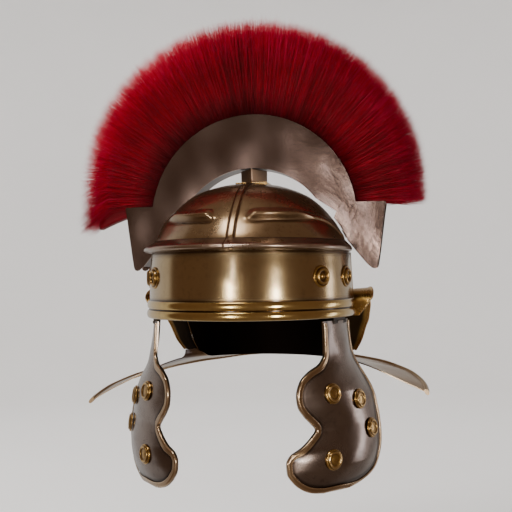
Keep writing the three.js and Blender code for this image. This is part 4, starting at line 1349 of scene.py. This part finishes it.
@dataclass
class CheekPlate:
    """A hinged cheek plate with its raised trim and its bosses.

    Attributes:
        length: From the plate's top to its lowest point.
        top: Height of its upper edge.
        thick: The sheet's thickness.
        flare: How far its back edge stands out.
        crown: How far its middle bulges.
        inset: How far inside the band's face it hangs at the hinge.
        trim_width: Width of the raised trim.
        trim_height: Height of the raised trim.
        base: Distance of the band's face from the bowl's.
    """

    length: float = 157.0
    top: float = -3.0
    thick: float = 1.3
    flare: float = 26.0
    crown: float = 4.0
    inset: float = 4.6
    trim_width: float = 5.5
    trim_height: float = 1.9
    base: float = 1.5

    def __post_init__(self) -> None:
        """Makes the outline's smooth curves from a table by share of the length."""
        drop = [
            0, 0.1, 0.19, 0.245, 0.285, 0.34, 0.42, 0.48, 0.54, 0.59, 0.625, 0.665, 0.715, 0.755, 0.8, 0.855,
            0.91, 0.955, 0.985, 1,
        ]
        front = [
            55, 54.8, 54.2, 50.5, 43, 37.6, 35.4, 36.2, 39.6, 44, 46.6, 43.6, 38, 31.6, 29.6, 30, 33, 37.6,
            43.5, 50.5,
        ]
        back = [88, 88, 88, 88, 88.2, 88.6, 89, 89, 89, 89, 89, 89, 89, 89, 88.8, 88, 86, 82, 75, 66.5]
        flare = [
            0, 0, 0.04, 0.13, 0.24, 0.42, 0.66, 0.8, 0.88, 0.94, 0.97, 1, 1.02, 1.02, 1, 0.94, 0.84, 0.66,
            0.44, 0.28,
        ]
        self.front = SmoothTable(drop, front)
        self.back = SmoothTable(drop, back)
        self.flared = SmoothTable(drop, flare)

    def point(self, drop: np.ndarray, share: np.ndarray, lift: np.ndarray | float = 0.0) -> np.ndarray:
        """Points of the plate's outer face.

        Args:
            drop: Share of the way down.
            share: Share of the way from the front edge to the back edge.
            lift: Distance outside the face.

        Returns:
            Points with a last axis of three.
        """
        settle_in = np.clip(drop / 0.42, 0, 1)
        hem = np.clip((1 - drop) / 0.15, 0, 1)
        bulge = self.crown * settle_in * hem * np.sin(math.pi * np.clip(share, 0, 1))
        grow = self.base - self.inset * (1 - settle_in) + bulge + lift
        grow = grow + self.flared(drop) * self.flare * np.clip(share, 0, 2) ** 1.6
        azimuth = self.front(drop) + (self.back(drop) - self.front(drop)) * share
        return FORM.hanging(azimuth, self.top - drop * self.length, grow)

    def flat(self, drop: np.ndarray, share: np.ndarray) -> np.ndarray:
        """The plate laid out flat.

        Args:
            drop: Share of the way down.
            share: Share of the way from the front edge to the back edge.

        Returns:
            Distance round the oval and distance down at each point.
        """
        radius = FORM.mean_half
        azimuth = self.front(drop) + (self.back(drop) - self.front(drop)) * share
        down = np.broadcast_to(drop * self.length, azimuth.shape)
        return np.stack([np.radians(azimuth) * radius, down], axis=-1)

    def outline(self) -> np.ndarray:
        """The open edge laid out flat: down the front, along the foot and up the back."""
        drops = np.concatenate([np.linspace(0.0, 0.97, 190), np.linspace(0.972, 1, 22)])
        foot = np.linspace(0, 1, 16)[1:-1]
        front = self.flat(drops, 0 * drops)
        low = self.flat(np.ones_like(foot), foot)
        back = self.flat(drops[::-1], np.ones_like(drops))
        return np.concatenate([front, low, back])

    def unflat(self, points: np.ndarray) -> tuple[np.ndarray, np.ndarray]:
        """The reverse of flat.

        Args:
            points: Points of the plate laid out flat.

        Returns:
            The drop and the share at each point.
        """
        radius = FORM.mean_half
        drop = points[..., 1] / self.length
        held = np.clip(drop, 0, 1)
        azimuth = np.degrees(points[..., 0] / radius)
        share = (azimuth - self.front(held)) / (self.back(held) - self.front(held))
        return drop, share

    def distance(self, flat: np.ndarray) -> np.ndarray:
        """How far points lie from the open edge.

        Args:
            flat: Points of the plate laid out flat, by row and column.

        Returns:
            The distance at each point.
        """
        line = self.outline()
        best = np.full(flat.shape[:2], 1e9)
        for start in range(0, len(line), 40):
            part = line[start:start + 40]
            gap = np.linalg.norm(flat[..., None, :] - part, axis=-1).min(axis=-1)
            best = np.minimum(best, gap)
        return best

    def sheet(self, side: Side) -> Patch:
        """The plate itself.

        Args:
            side: The side that it hangs on.

        Returns:
            One closed patch.
        """
        drop = np.concatenate([np.linspace(0, 0.95, 112), np.linspace(0.956, 1, 14)])[:, None]
        share = (1 - np.cos(np.linspace(0, math.pi, 50)))[None, :] / 2
        flat = self.flat(drop, share)
        near = self.distance(flat)
        outer = self.point(drop, share, 0.0)
        uneven = 0.25 * ripple(outer[..., 0], outer[..., 1], outer[..., 2], 36.0, 21)
        outer = self.point(drop, share, uneven * ease(near, 3, 14))
        inner = self.point(drop, share, -self.thick)
        # Painted shade in the groove beside the trim, a softer darkening within about 16 mm of the edge, and
        # foot_shade, a painted dark reflection toward the foot
        beside = bell(near - self.trim_width - 0.6, 1.5)
        foot_shade = 0.5 * bell(near, 14.0) * ease(drop, 0.85, 1.0)
        masks = {
            "hollow": np.clip(0.95 * beside + 0.3 * bell(near, 16.0) + foot_shade, 0, 1),
            "edge": 0.9 * bell(near, 0.8),
        }
        return on_side(wall(outer, inner, masks), side)

    def trim(self, side: Side) -> Patch:
        """The raised strip along the open edge.

        Args:
            side: The side that the plate hangs on.

        Returns:
            One closed patch.
        """
        line = self.outline()
        line = self.evened(line[line[:, 1] > 1.2], 360)
        along = np.gradient(line, axis=0)
        kernel = np.ones(5) / 5
        for k in range(2):
            padded = np.pad(along[:, k], 2, mode="edge")
            along[:, k] = np.convolve(padded, kernel, mode="valid")
        along = unit(along)
        inward = np.stack([along[:, 1], -along[:, 0]], axis=-1)
        over = np.array([0, 0.02, 0.14, 0.34, 0.56, 0.76, 0.86, 0.93, 1.0])
        up = np.array([0.2, 0.7, 0.98, 1.0, 0.84, 0.6, 0.66, 0.5, 0.15])
        worn = np.array([0.3, 0.8, 0.9, 0.25, 0.1, 0.2, 0.9, 0.8, 0.2])
        back_half = ease(np.linspace(0, 1, len(line)), 0.55, 0.62)
        width = self.trim_width * (1 - 0.55 * back_half)
        places = line[None] + over[:, None, None] * (inward * width[:, None])[None]
        drop, share = self.unflat(places)
        lift = 0.35 + up[:, None] * self.trim_height * (1 - 0.35 * back_half)[None, :]
        outer = self.point(drop, share, lift)
        inner = self.point(drop, share, 0.25)
        # Painted shade along both feet of the trim, where it meets the plate
        dark = 0.6 * bell(up - 0.2, 0.2)
        masks = {"edge": worn[:, None] * np.ones(len(line)), "hollow": dark[:, None] * np.ones(len(line))}
        return on_side(wall(outer, inner, masks), side)

    @staticmethod
    def evened(line: np.ndarray, count: int) -> np.ndarray:
        """A line drawn again with points at equal steps.

        Args:
            line: Points of the line.
            count: Number of points that the new line has.

        Returns:
            The new points.
        """
        steps = np.concatenate([[0], np.cumsum(np.linalg.norm(np.diff(line, axis=0), axis=1))])
        places = np.linspace(0, steps[-1], count)
        return np.stack([np.interp(places, steps, line[:, k]) for k in range(2)], axis=-1)

    def knuckle(self, side: Side) -> Patch:
        """The plate's own hinge knuckle, on the joint's axis.

        Args:
            side: The side that the plate hangs on.

        Returns:
            One closed patch.
        """
        joint = next(j for j in FRAME["joints"] if j["child"] == Body.cheek(side).value)
        centre = np.array(joint["pos_m"]) / MM
        axis = np.array(joint["axis"])
        half = 7.0
        line = centre + np.linspace(-half, half, 9)[:, None] * axis
        return tube(line, np.full(9, 2.1), 20)

    def build(self, metals: Metals, side: Side) -> None:
        """Makes and dresses one plate with all that it carries.

        Args:
            metals: The metals.
            side: The side that it hangs on.
        """
        word, body = side.word, Body.cheek(side)
        plate, trim = f"cheek_plate_{word}", f"cheek_trim_{word}"
        patches = [self.sheet(side), self.knuckle(side)]
        metals.piece(f"{plate}_smooth", patches, Metals.CHEEK, body, plate, sharp=45)
        metals.piece(f"{trim}_smooth", [self.trim(side)], Metals.TRIM, body, trim, sharp=60)
        boss = Boss(radius=9.6, height=3.2)
        for number in range(1, 5):
            node = f"cheek_boss_{word}_{number}"
            boss.build(metals, f"{node}_ringed", node, body, ringed=False)


@dataclass
class Crest:
    """The crest box: two plates, the web between them, the post and its base.

    Attributes:
        set_back: Where the crest's plane lies along Y.
        depth: Distance between the plates' middles.
        thick: Thickness of a plate.
        outer_radius: Radius of the upper arc.
        outer_centre: Height of the upper arc's centre.
        inner_radius: Radius of the lower arc.
        inner_centre: Height of the lower arc's centre.
        leg_clear: Space between a leg and the bowl.
        tail_reach: Half of the width over the tails.
        tail_top: Height of the tails' upper edge.
        tail_tip: Height of the tails' lowest point.
        leg_foot: Height where the inner slope starts.
        foot_width: Width of a tail at its foot.
        slope_width: Width of a tail at the top of its inner slope.
        slope_rise: Height of the inner slope.
        cusp_level: Height of the cusp between a leg and the lower arc.
        inner_turn: Degrees from the lower arc's top to each of its ends.
        rounding: Width of the plates' worn edge.
        cell: Longest edge inside a plate's mesh.
    """

    set_back: float = 18.0
    depth: float = 26.0
    thick: float = 1.3
    outer_radius: float = 107.0
    outer_centre: float = 98.9
    inner_radius: float = 82.0
    inner_centre: float = 68.8
    leg_clear: float = 2.2
    tail_reach: float = 136.0
    tail_top: float = 113.5
    tail_tip: float = 46.5
    leg_foot: float = 51.0
    foot_width: float = 19.0
    slope_width: float = 27.0
    slope_rise: float = 9.5
    cusp_level: float = 104.5
    inner_turn: float = 53.0
    rounding: float = 1.1
    cell: float = 7.0

    @staticmethod
    def arc(radius: float, centre: float, turn: np.ndarray) -> np.ndarray:
        """Points of an arc about a centre on the middle line, at angles from its top."""
        return np.stack([radius * np.sin(turn), centre + radius * np.cos(turn)], -1)

    def lower_line(self) -> np.ndarray:
        """Half of the underside, from the tail's foot up to the top of the inner arc."""
        legs = np.linspace(75, 98, 12)
        slope = np.stack([FORM.oval(90.0, legs, self.leg_clear)[:, 0], legs], axis=-1)
        foot = np.array([
            [self.tail_reach - self.foot_width, self.leg_foot],
            [self.tail_reach - self.slope_width, self.leg_foot + self.slope_rise],
        ])
        cusp = np.array([[slope[-1, 0] + 2.5, self.cusp_level]])
        turn = np.radians(np.linspace(self.inner_turn, 0, 60))
        return np.concatenate([foot, slope, cusp, self.arc(self.inner_radius, self.inner_centre, turn)])

    def outline(self) -> np.ndarray:
        """The plate's whole outline, going round once."""
        notch = math.acos((self.tail_top - self.outer_centre) / self.outer_radius)
        turn = np.linspace(0, notch, 80)
        arc = self.arc(self.outer_radius, self.outer_centre, turn)
        reach, top, tip = self.tail_reach, self.tail_top, self.tail_tip
        tail = np.array([
            [reach - 14, top + 0.1], [reach - 1.2, top], [reach, top - 1.2],
            [reach - 2.1, (top + tip) / 2 + 18], [reach - 4, (top + tip) / 2 + 3],
            [reach - 6.5, tip + 17], [reach - 8.5, tip + 4], [reach - 9.2, tip + 1.9],
            [reach - 10.4, tip + 0.5], [reach - 12.4, tip], [reach - 14.4, tip + 0.6],
        ])
        half = np.concatenate([arc, tail, self.lower_line()])
        other = half[::-1][1:-1] * np.array([-1, 1])
        return np.concatenate([half, other])

    def plate(self, name: str, node: str, face: int, metals: Metals) -> None:
        """One crest plate with a rounded, worn edge.

        Args:
            name: The new piece's name.
            node: The node that it stands for.
            face: -1 for the front plate and 1 for the back plate.
            metals: The metals.
        """
        outline = self.outline()
        middle = self.set_back + face * self.depth / 2
        work = bmesh.new()
        edge_layer = work.verts.layers.float.new("edge")
        dent_layer = work.verts.layers.float.new("dented")
        corners = [work.verts.new((p[0] * MM, middle * MM, p[1] * MM)) for p in outline]
        work.faces.new(corners)
        bmesh.ops.inset_region(
            work, faces=work.faces[:], thickness=self.rounding * MM, use_even_offset=True, use_boundary=True
        )
        border = {v for e in work.edges if e.is_boundary for v in e.verts}
        for vertex in work.verts:
            vertex[edge_layer] = 1.0 if vertex in border else 0.0
        bmesh.ops.triangulate(work, faces=[f for f in work.faces if len(f.verts) > 4])
        for _ in range(3):
            long = [e for e in work.edges if e.calc_length() > self.cell * MM and not e.is_boundary]
            bmesh.ops.subdivide_edges(work, edges=long, cuts=1, use_grid_fill=False)
            bmesh.ops.triangulate(work, faces=[f for f in work.faces if len(f.verts) > 4])
        for vertex in work.verts:
            x, z = vertex.co.x / MM, vertex.co.z / MM
            vertex[dent_layer] = float(0.12 + 0.88 * ease(x, 25, 80))
            uneven = float(ripple(np.array([x]), np.array([face * 9.0]), np.array([z]), 40.0, 31)[0])
            inner = 1.0 - vertex[edge_layer]
            vertex.co.y += 0.28 * uneven * inner * MM
        thin = self.thick * 0.36
        for vertex in work.verts:
            vertex.co.y += face * (self.thick / 2 - vertex[edge_layer] * thin) * MM
        copied = bmesh.ops.duplicate(work, geom=work.verts[:] + work.edges[:] + work.faces[:])
        for vertex in [g for g in copied["geom"] if isinstance(g, bmesh.types.BMVert)]:
            vertex.co.y = 2 * middle * MM - vertex.co.y
        rims = [e for e in work.edges if e.is_boundary]
        bmesh.ops.bridge_loops(work, edges=rims)
        bmesh.ops.recalc_face_normals(work, faces=work.faces)
        metals.finish_piece(from_work(name, work), Metals.CREST, Body.ROOT, node, sharp=55)

    def web(self, metals: Metals) -> None:
        """The strip that closes the underside between the plates.

        Args:
            metals: The metals.
        """
        half = self.lower_line()
        full = np.concatenate([half, half[::-1][1:] * np.array([-1, 1])])
        along = unit(np.gradient(full, axis=0))
        lift = np.stack([along[:, 1], -along[:, 0]], axis=-1)
        room = self.depth / 2 - self.thick / 2 - FORM.seam
        ys = np.linspace(-room, room, 9) + self.set_back
        grids = []
        for up in (0.1, self.thick):
            line = full + lift * up
            grids.append(np.stack([
                np.repeat(line[:, :1], len(ys), axis=1), np.tile(ys, (len(line), 1)),
                np.repeat(line[:, 1:], len(ys), axis=1),
            ], axis=-1))
        # The whole web gets painted shade, as it lies in the shade under the crest
        dark = 0.7 * np.ones(grids[0].shape[:2])
        patch = wall(grids[0], grids[1], {"hollow": dark})
        metals.piece("crest_web_smooth", [patch], Metals.CREST, Body.ROOT, "crest_web", sharp=50)

    @staticmethod
    def soft_block(name: str, node: str, bevel: float, finish: MetalFinish, metals: Metals) -> None:
        """A frame node's block drawn again with rounded edges.

        Args:
            name: The new piece's name.
            node: The node that it stands for.
            bevel: Width of the rounding in millimetres.
            finish: The block's finish.
            metals: The metals.
        """
        source = FRAME["nodes"][node].data
        work = bmesh.new()
        work.from_mesh(source)
        bmesh.ops.remove_doubles(work, verts=work.verts, dist=1e-5)
        bmesh.ops.dissolve_limit(work, angle_limit=math.radians(12), verts=work.verts, edges=work.edges)
        sharp = [e for e in work.edges if len(e.link_faces) == 2 and e.calc_face_angle() > math.radians(30)]
        bmesh.ops.bevel(work, geom=sharp, offset=bevel * MM, segments=4, profile=0.6, affect="EDGES")
        edge_layer = work.verts.layers.float.new("edge")
        for vertex in work.verts:
            turned = [f.normal for f in vertex.link_faces]
            spread = max((a.angle(b, 0.0) for a in turned for b in turned), default=0.0)
            vertex[edge_layer] = min(1.0, spread * 1.6)
        metals.finish_piece(from_work(name, work), finish, Body.ROOT, node, sharp=40)

    def build(self, metals: Metals) -> None:
        """Makes and dresses the crest box with its post and base.

        Args:
            metals: The metals.
        """
        self.plate("crest_plate_front_beaten", "crest_plate_front", -1, metals)
        self.plate("crest_plate_back_beaten", "crest_plate_back", 1, metals)
        self.web(metals)
        self.soft_block("crest_post_rounded", "crest_post", 1.2, Metals.POST, metals)
        self.soft_block("crest_base_rounded", "crest_base", 0.8, Metals.GOLD, metals)


@dataclass
class Plume:
    """The fan of dyed horsehair that grows from between the crest plates.

    Attributes:
        radius: Distance of the tips from the fan's centre.
        widened: Share of the radius that the fan reaches to the sides.
        flattened: Share of the radius that the fan reaches to the top.
        centre: Height of the fan's centre.
        lean: How far the fan's centre lies toward the wearer's left.
        depth: Thickness of the brush at its tips.
        spread: Degrees from the top to the last tips on each side.
        root_spread: Degrees from the top to the last roots on each side.
        inset: How far the roots lie below the crest's upper edge.
        droop: How far the tips at the wearer's right hang down.
        sections: Number of meshes that the strands are split into.
        strands: Strands in each section.
        rows: Rings along one strand, with its tip.
    """

    radius: float = 178.5
    widened: float = 1.012
    flattened: float = 0.985
    centre: float = 128.0
    lean: float = -5.0
    depth: float = 37.0
    spread: float = 95.0
    root_spread: float = 84.0
    inset: float = 7.0
    droop: float = 29.0
    sections: int = 4
    strands: int = 9600
    rows: int = 4

    def build(self, crest: Crest, material: bpy.types.Material) -> None:
        """Makes the strands in sections and the dark core behind them.

        Args:
            crest: The crest box that the hair grows from.
            material: The hair's material.
        """
        draw = np.random.default_rng(1207)
        for section in range(self.sections):
            low = -1 + 2 * section / self.sections
            points, along, tone = self.strand_points(crest, draw, low, low + 2 / self.sections)
            hair = self.strand_mesh(f"plume_hair_{section + 1}", points, along, tone)
            settle(hair, material, Body.ROOT, "plume")
        settle(self.core(crest), material, Body.ROOT, "plume")

    def hang(self, share: np.ndarray, reach: np.ndarray) -> np.ndarray:
        """How far the hair sags at a share along the crest and a share of its length."""
        return self.droop * ease(-share, 0.72, 1.0) * np.clip((reach - 0.5) * 2, 0, None) ** 1.7

    def path(self, crest: Crest, share: np.ndarray, length: np.ndarray, lean: np.ndarray) -> np.ndarray:
        """The middle line of each strand from its root to its tip.

        Args:
            crest: The crest box.
            share: Place along the crest from -1 at the wearer's right to 1 at the left.
            length: Length of each strand as a share of the full fan.
            lean: Place through the thickness, from -1 at the front to 1 at the back.

        Returns:
            Points by strand and row.
        """
        turn = np.radians(share * self.root_spread)
        root = crest.arc(crest.outer_radius - self.inset, crest.outer_centre, turn)
        fan = np.radians(share * self.spread)
        wide, high = self.radius * self.widened, self.radius * self.flattened
        tip = np.stack([self.lean + wide * np.sin(fan), self.centre + high * np.cos(fan)], -1)
        floor = crest.tail_top + 1.5
        tip[:, 1] = np.maximum(tip[:, 1], floor + 3 * (1 - np.abs(share)))
        root[:, 1] = np.maximum(root[:, 1], floor + 1.0)
        step = np.linspace(0, 1, self.rows)[None, :]
        reach = step * length[:, None]
        flat = root[:, None, :] + (tip - root)[:, None, :] * reach[..., None]
        flat[..., 1] -= self.hang(share[:, None], reach)
        leaves = np.where(np.abs(share) > 0.9, 0.5, 0.1)[:, None]
        open_out = np.clip((reach - leaves) / (1 - leaves), 0, 1) ** 0.8
        room = crest.depth / 2 - crest.thick - 1.0
        y = crest.set_back + lean[:, None] * (room + (self.depth / 2 - room) * open_out)
        return np.stack([flat[..., 0], y, flat[..., 1]], axis=-1)

    def strand_points(
        self, crest: Crest, draw: np.random.Generator, low: float, high: float
    ) -> tuple[np.ndarray, np.ndarray, np.ndarray]:
        """The rings of one section's strands.

        Args:
            crest: The crest box.
            draw: The random numbers.
            low: The section's first share along the crest.
            high: The section's last share along the crest.

        Returns:
            Points by strand, row and corner, the share along and the tone of each strand.
        """
        count = self.strands
        share = draw.uniform(low, high, count)
        lean = np.sign(draw.uniform(-1, 1, count)) * draw.uniform(0, 1, count) ** 0.55
        clump = np.sin(share * 143 + 3 * lean) * 0.5 + np.sin(share * 331 + 7) * 0.5
        patchy = np.sin(share * 13 + 2 * lean + 1.4) * 0.6 + np.sin(share * 37 - 4 * lean) * 0.4
        length = 0.996 + 0.003 * clump + draw.normal(0, 0.006, count)
        short = draw.uniform(0, 1, count) < 0.3
        length = np.where(short, length - draw.uniform(0.02, 0.3, count), length)
        middle = self.path(crest, share, length, lean)
        wander = draw.normal(0, 1, (count, 3)) * np.array([2.0, 1.5, 2.0])
        wander[:, 0] += 1.3 * np.sin(share * 71 + 5 * lean) * np.cos(share * 1.6)
        wander[:, 2] -= 1.3 * np.sin(share * 71 + 5 * lean) * np.sin(share * 1.6)
        bend = draw.normal(0, 1, (count, 3)) * np.array([2.0, 1.0, 2.0])
        step = np.linspace(0, 1, self.rows)[None, :, None]
        middle = middle + wander[:, None, :] * step**1.3 + bend[:, None, :] * np.sin(step * math.pi)
        across = np.abs(middle[..., 0])
        over_tail = (across < crest.tail_reach + 1) & (across > 104)
        floor = crest.tail_top + 0.8
        middle[..., 2] = np.where(over_tail & (middle[..., 2] < floor), floor, middle[..., 2])
        along = unit(np.gradient(middle, axis=1))
        side = unit(np.cross(along, np.array([0.0, 1.0, 0.0])))
        over = np.cross(along, side)
        thick = draw.uniform(0.24, 0.42, count)[:, None, None, None]
        taper = np.linspace(1.0, 0.55, self.rows)[None, :, None, None]
        spin = draw.uniform(0, 2 * math.pi, count)[:, None, None, None]
        turn = spin + (np.arange(3) * 2 * math.pi / 3)[None, None, :, None]
        rings = middle[:, :, None, :] + thick * taper * (
            np.cos(turn) * side[:, :, None, :] + np.sin(turn) * over[:, :, None, :]
        )
        tone = np.clip(draw.normal(0.52, 0.2, count) + 0.17 * clump + 0.16 * patchy, 0, 1)
        return rings, length, tone

    @staticmethod
    def strand_mesh(name: str, rings: np.ndarray, length: np.ndarray, tone: np.ndarray) -> bpy.types.Object:
        """One mesh of closed three-sided strands.

        Args:
            name: The mesh's name.
            rings: Points by strand, row and corner.
            length: The share of the full length that each strand has.
            tone: The tone of each strand.

        Returns:
            The new object.
        """
        count, rows = rings.shape[:2]
        tip = rings[:, -1].mean(axis=1, keepdims=True)
        points = np.concatenate([rings[:, :-1].reshape(count, -1, 3), tip], axis=1)
        per = points.shape[1]
        start = (np.arange(count) * per)[:, None]
        numbers = np.arange((rows - 1) * 3).reshape(rows - 1, 3)
        quads = (start[:, None] + cells(numbers, True)[None]).reshape(-1, 4)
        a, b, c = numbers[-1]
        cap = np.array([[a, b, per - 1], [b, c, per - 1], [c, a, per - 1], [0, 2, 1]])
        triangles = (start[:, None] + cap[None]).reshape(-1, 3)
        row_share = np.append(np.repeat(np.linspace(0, 1, rows)[:-1], 3), 1.0)
        along = length[:, None] * row_share[None, :]
        tones = np.repeat(tone[:, None], per, axis=1)
        return make_object(name, points.reshape(-1, 3), quads, triangles, {"along": along, "tone": tones})

    def core(self, crest: Crest) -> bpy.types.Object:
        """The dense inside of the brush, so that no light comes through it; a low tone paints it dark as
        painted shade.

        Args:
            crest: The crest box.

        Returns:
            The new object.
        """
        share = np.linspace(-0.985, 0.985, 120)
        room = crest.depth / 2 - crest.thick - 1.4
        reach = np.linspace(0.0, 0.8, 10)
        lines = self.path(crest, share, np.ones_like(share), np.zeros_like(share))
        root, tip = lines[:, 0], lines[:, -1]
        thick = room * (0.9 - 0.35 * reach)
        faces = []
        for lean in (-1, 1):
            grid = root[None] + (tip - root)[None] * reach[:, None, None]
            grid[..., 1] = crest.set_back + lean * thick[:, None]
            grid[..., 2] -= 0.2 * self.hang(share[None, :], reach[:, None])
            faces.append(grid)
        # A short along and a low tone give the core the dark colour of painted shade
        along = (0.25 + 0.35 * reach)[:, None] * np.ones(len(share))
        patch = wall(faces[0], faces[1], {"along": along, "tone": 0.2 * np.ones_like(along)})
        return merge_patches("plume_core", [patch])


class Fittings:
    """Small hidden pieces of the frame that keep their shape."""

    KINDS = ("hinge_leaf", "hinge_pin", "crest_stay")

    def build(self, metals: Metals) -> None:
        """Dresses the nodes that stay.

        Args:
            metals: The metals.
        """
        for node in (f"{kind}_{side.word}" for kind in self.KINDS for side in Side):
            mesh = FRAME["nodes"][node].data
            mesh.materials.clear()
            mesh.materials.append(metals.made[Metals.DARK.name])
            LOG.info("%s: kept from the frame", node)


@dataclass
class Studio:
    """The pale cove, the lights and the camera.

    Attributes:
        distance: From the crest's axis to the camera.
        azimuth: Degrees that the camera stands to the wearer's left of the front.
        level: Height of the camera over the rim.
        lens: Focal length in millimetres.
        horizon: Rows of the picture from its middle down to the horizon.
        centre: Columns of the picture from its middle right to the crest's axis.
        roll: Degrees that the camera leans.
        floor: Height of the floor.
        picture: Width of the picture in pixels.
        sensor: Width of the camera's sensor in millimetres.
        dark_room: Colour of the room in front of the helmet.
        upper_room: Colour of the room overhead.
        lower_room: Colour of the room underneath.
        pale_wall: Colour of the walls behind and at the sides.
    """

    distance: float = 900.0
    azimuth: float = 11.0
    level: float = 40.0
    lens: float = 60.75
    horizon: float = 20.0
    centre: float = -0.8
    roll: float = 0.6
    floor: float = -300.0
    picture: float = 512.0
    sensor: float = 36.0
    dark_room: Color = (0.14, 0.088, 0.055)
    upper_room: Color = (0.2, 0.14, 0.1)
    lower_room: Color = (0.2, 0.15, 0.115)
    pale_wall: Color = (0.62, 0.6, 0.58)

    def camera(self, set_back: float) -> None:
        """Sets the camera where the photograph's stood.

        Args:
            set_back: Where the crest's axis lies along Y, in millimetres.
        """
        data = bpy.data.cameras.new("camera")
        data.lens = self.lens
        data.sensor_width = self.sensor
        data.shift_y = self.horizon / self.picture
        data.shift_x = -self.centre / self.picture
        data.dof.use_dof = False
        camera = bpy.data.objects.new("camera", data)
        turn = math.radians(self.azimuth)
        camera.location = (
            self.distance * math.sin(turn) * MM,
            (set_back - self.distance * math.cos(turn)) * MM,
            self.level * MM,
        )
        camera.rotation_mode = "XYZ"
        camera.rotation_euler = (math.radians(90), 0.0, turn)
        camera.rotation_euler.rotate_axis("Z", math.radians(-self.roll))
        bpy.context.scene.collection.objects.link(camera)
        bpy.context.scene.camera = camera

    def cove(self) -> None:
        """A pale round cove: a floor that curves up into a wall on every side."""
        radius, bend, top = 2600.0, 900.0, 3200.0
        turn = np.radians(np.linspace(-90, 0, 18))
        level = np.concatenate([[0.0], np.linspace(200, radius - bend, 12)])
        out = np.concatenate([level, radius - bend + bend * np.cos(turn), [radius]])
        up = np.concatenate([0 * level, bend + bend * np.sin(turn), [top]]) + self.floor
        cove = merge_patches("studio_cove", [lathe(np.stack([out, up], 1), 96)])
        cove.data.flip_normals()
        cove.data.materials.append(PlainFinish("pale_cove", (0.86, 0.86, 0.865)).build())
        cove.visible_glossy = False

    @staticmethod
    def soft_box(name: str, azimuth: float, level: float, distance: float, size: tuple[float, float],
                 radiance: float, color: Color = (1.0, 0.98, 0.95), mirrored: bool = True) -> None:
        """A soft box that faces the helmet.

        Args:
            name: The light's name.
            azimuth: Degrees from the front toward the wearer's left.
            level: Height over the rim in metres.
            distance: From the helmet's middle in metres.
            size: Width and height in metres.
            radiance: Brightness of its face.
            color: The light's colour.
            mirrored: Whether it is there for the metal's mirror images, or else for the matt surfaces.
        """
        data = bpy.data.lights.new(name, "AREA")
        data.shape = "RECTANGLE"
        data.size, data.size_y = size
        data.energy = radiance * size[0] * size[1] * math.pi
        data.color = color
        light = bpy.data.objects.new(name, data)
        turn = math.radians(azimuth)
        light.location = (distance * math.sin(turn), -distance * math.cos(turn), level)
        aim = Vector((0, 0, 0.05)) - light.location
        light.rotation_euler = aim.to_track_quat("-Z", "Y").to_euler()
        light.visible_glossy = mirrored
        light.visible_diffuse = not mirrored
        bpy.context.scene.collection.objects.link(light)

    def world(self) -> None:
        """The room that the metal mirrors: dark and warm in front, white behind and at the sides."""
        world = bpy.data.worlds.new("room")
        bpy.context.scene.world = world
        world.use_nodes = True
        w = Wires(world.node_tree)
        way = w.node("ShaderNodeTexCoord").outputs["Generated"]
        parts = w.node("ShaderNodeSeparateXYZ", {0: way}).outputs
        azimuth = w.math("ARCTAN2", parts["X"], w.math("MULTIPLY", parts["Y"], -1.0))
        left_wall = w.fit(azimuth, math.radians(-91), math.radians(-97), 0.0, 1.0)
        right_wall = w.fit(azimuth, math.radians(112), math.radians(150), 0.0, 0.85)
        walls = w.math("MAXIMUM", left_wall, right_wall)
        up = w.fit(parts["Z"], 0.1, 0.95, 0.0, 1.0)
        down = w.fit(parts["Z"], -0.12, -0.8, 0.0, 1.0)
        color = w.mix(up, rgba(self.dark_room), rgba(self.upper_room))
        color = w.mix(down, color, rgba(self.lower_room))
        tall = w.fit(parts["Z"], 0.75, 0.5, 0.0, 1.0)
        color = w.mix(w.math("MULTIPLY", walls, tall), color, rgba(self.pale_wall))
        background = world.node_tree.nodes["Background"].inputs
        w.link(color, background["Color"])
        background["Strength"].default_value = 1.0

    def build(self, set_back: float) -> None:
        """Sets up everything that isn't the helmet.

        Args:
            set_back: Where the crest's axis lies along Y, in millimetres.
        """
        self.camera(set_back)
        self.cove()
        self.world()
        self.soft_box("strip_left", -7, -0.1, 1.6, (0.17, 0.38), 32)
        self.soft_box("strip_right", 46, -0.1, 1.6, (0.16, 0.38), 40)
        self.soft_box("tail_glow", -3.2, 0.235, 1.6, (0.09, 0.1), 13.0, (1.0, 0.97, 0.98))
        self.soft_box("overhead", -16, 1.5, 0.75, (0.5, 0.45), 13)
        self.soft_box("cheek_glow", 116, -0.2, 1.6, (0.24, 0.75), 4, (0.95, 0.95, 1.0))
        self.soft_box("key", -58, 1.3, 1.5, (1.2, 1.0), 10.5, mirrored=False)
        self.soft_box("cove_fill", 180, 2.2, 1.2, (1.6, 1.2), 6, mirrored=False)
        self.soft_box("front_fill", 20, 0.9, 1.8, (1.4, 0.8), 1.6, mirrored=False)


def main() -> None:
    """Builds the helmet piece by piece inside the frame."""
    logging.basicConfig(level=logging.INFO, format="%(message)s")
    effects = Effects()
    metals = Metals(effects)
    crest = Crest()
    Studio().build(crest.set_back)
    Bowl().build(metals)
    BrowBand().build(metals)
    BrowGuard().build(metals)
    for number in range(1, 5):
        node = f"band_boss_{number}"
        Boss().build(metals, f"{node}_ringed", node, Body.ROOT, ringed=True)
    for side in Side:
        EarGuard().build(metals, side)
        CheekPlate().build(metals, side)
    crest.build(metals)
    Plume().build(crest, HairFinish().build(effects))
    Fittings().build(metals)


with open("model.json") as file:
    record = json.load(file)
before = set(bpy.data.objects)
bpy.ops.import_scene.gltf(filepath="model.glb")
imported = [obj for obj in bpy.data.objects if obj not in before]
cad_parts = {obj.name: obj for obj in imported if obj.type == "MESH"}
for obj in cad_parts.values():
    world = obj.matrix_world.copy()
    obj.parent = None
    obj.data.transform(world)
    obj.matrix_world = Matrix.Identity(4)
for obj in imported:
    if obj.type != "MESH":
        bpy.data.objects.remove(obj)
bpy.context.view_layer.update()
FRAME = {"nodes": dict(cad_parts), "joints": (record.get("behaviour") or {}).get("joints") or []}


if __name__ == "__main__":
    main()
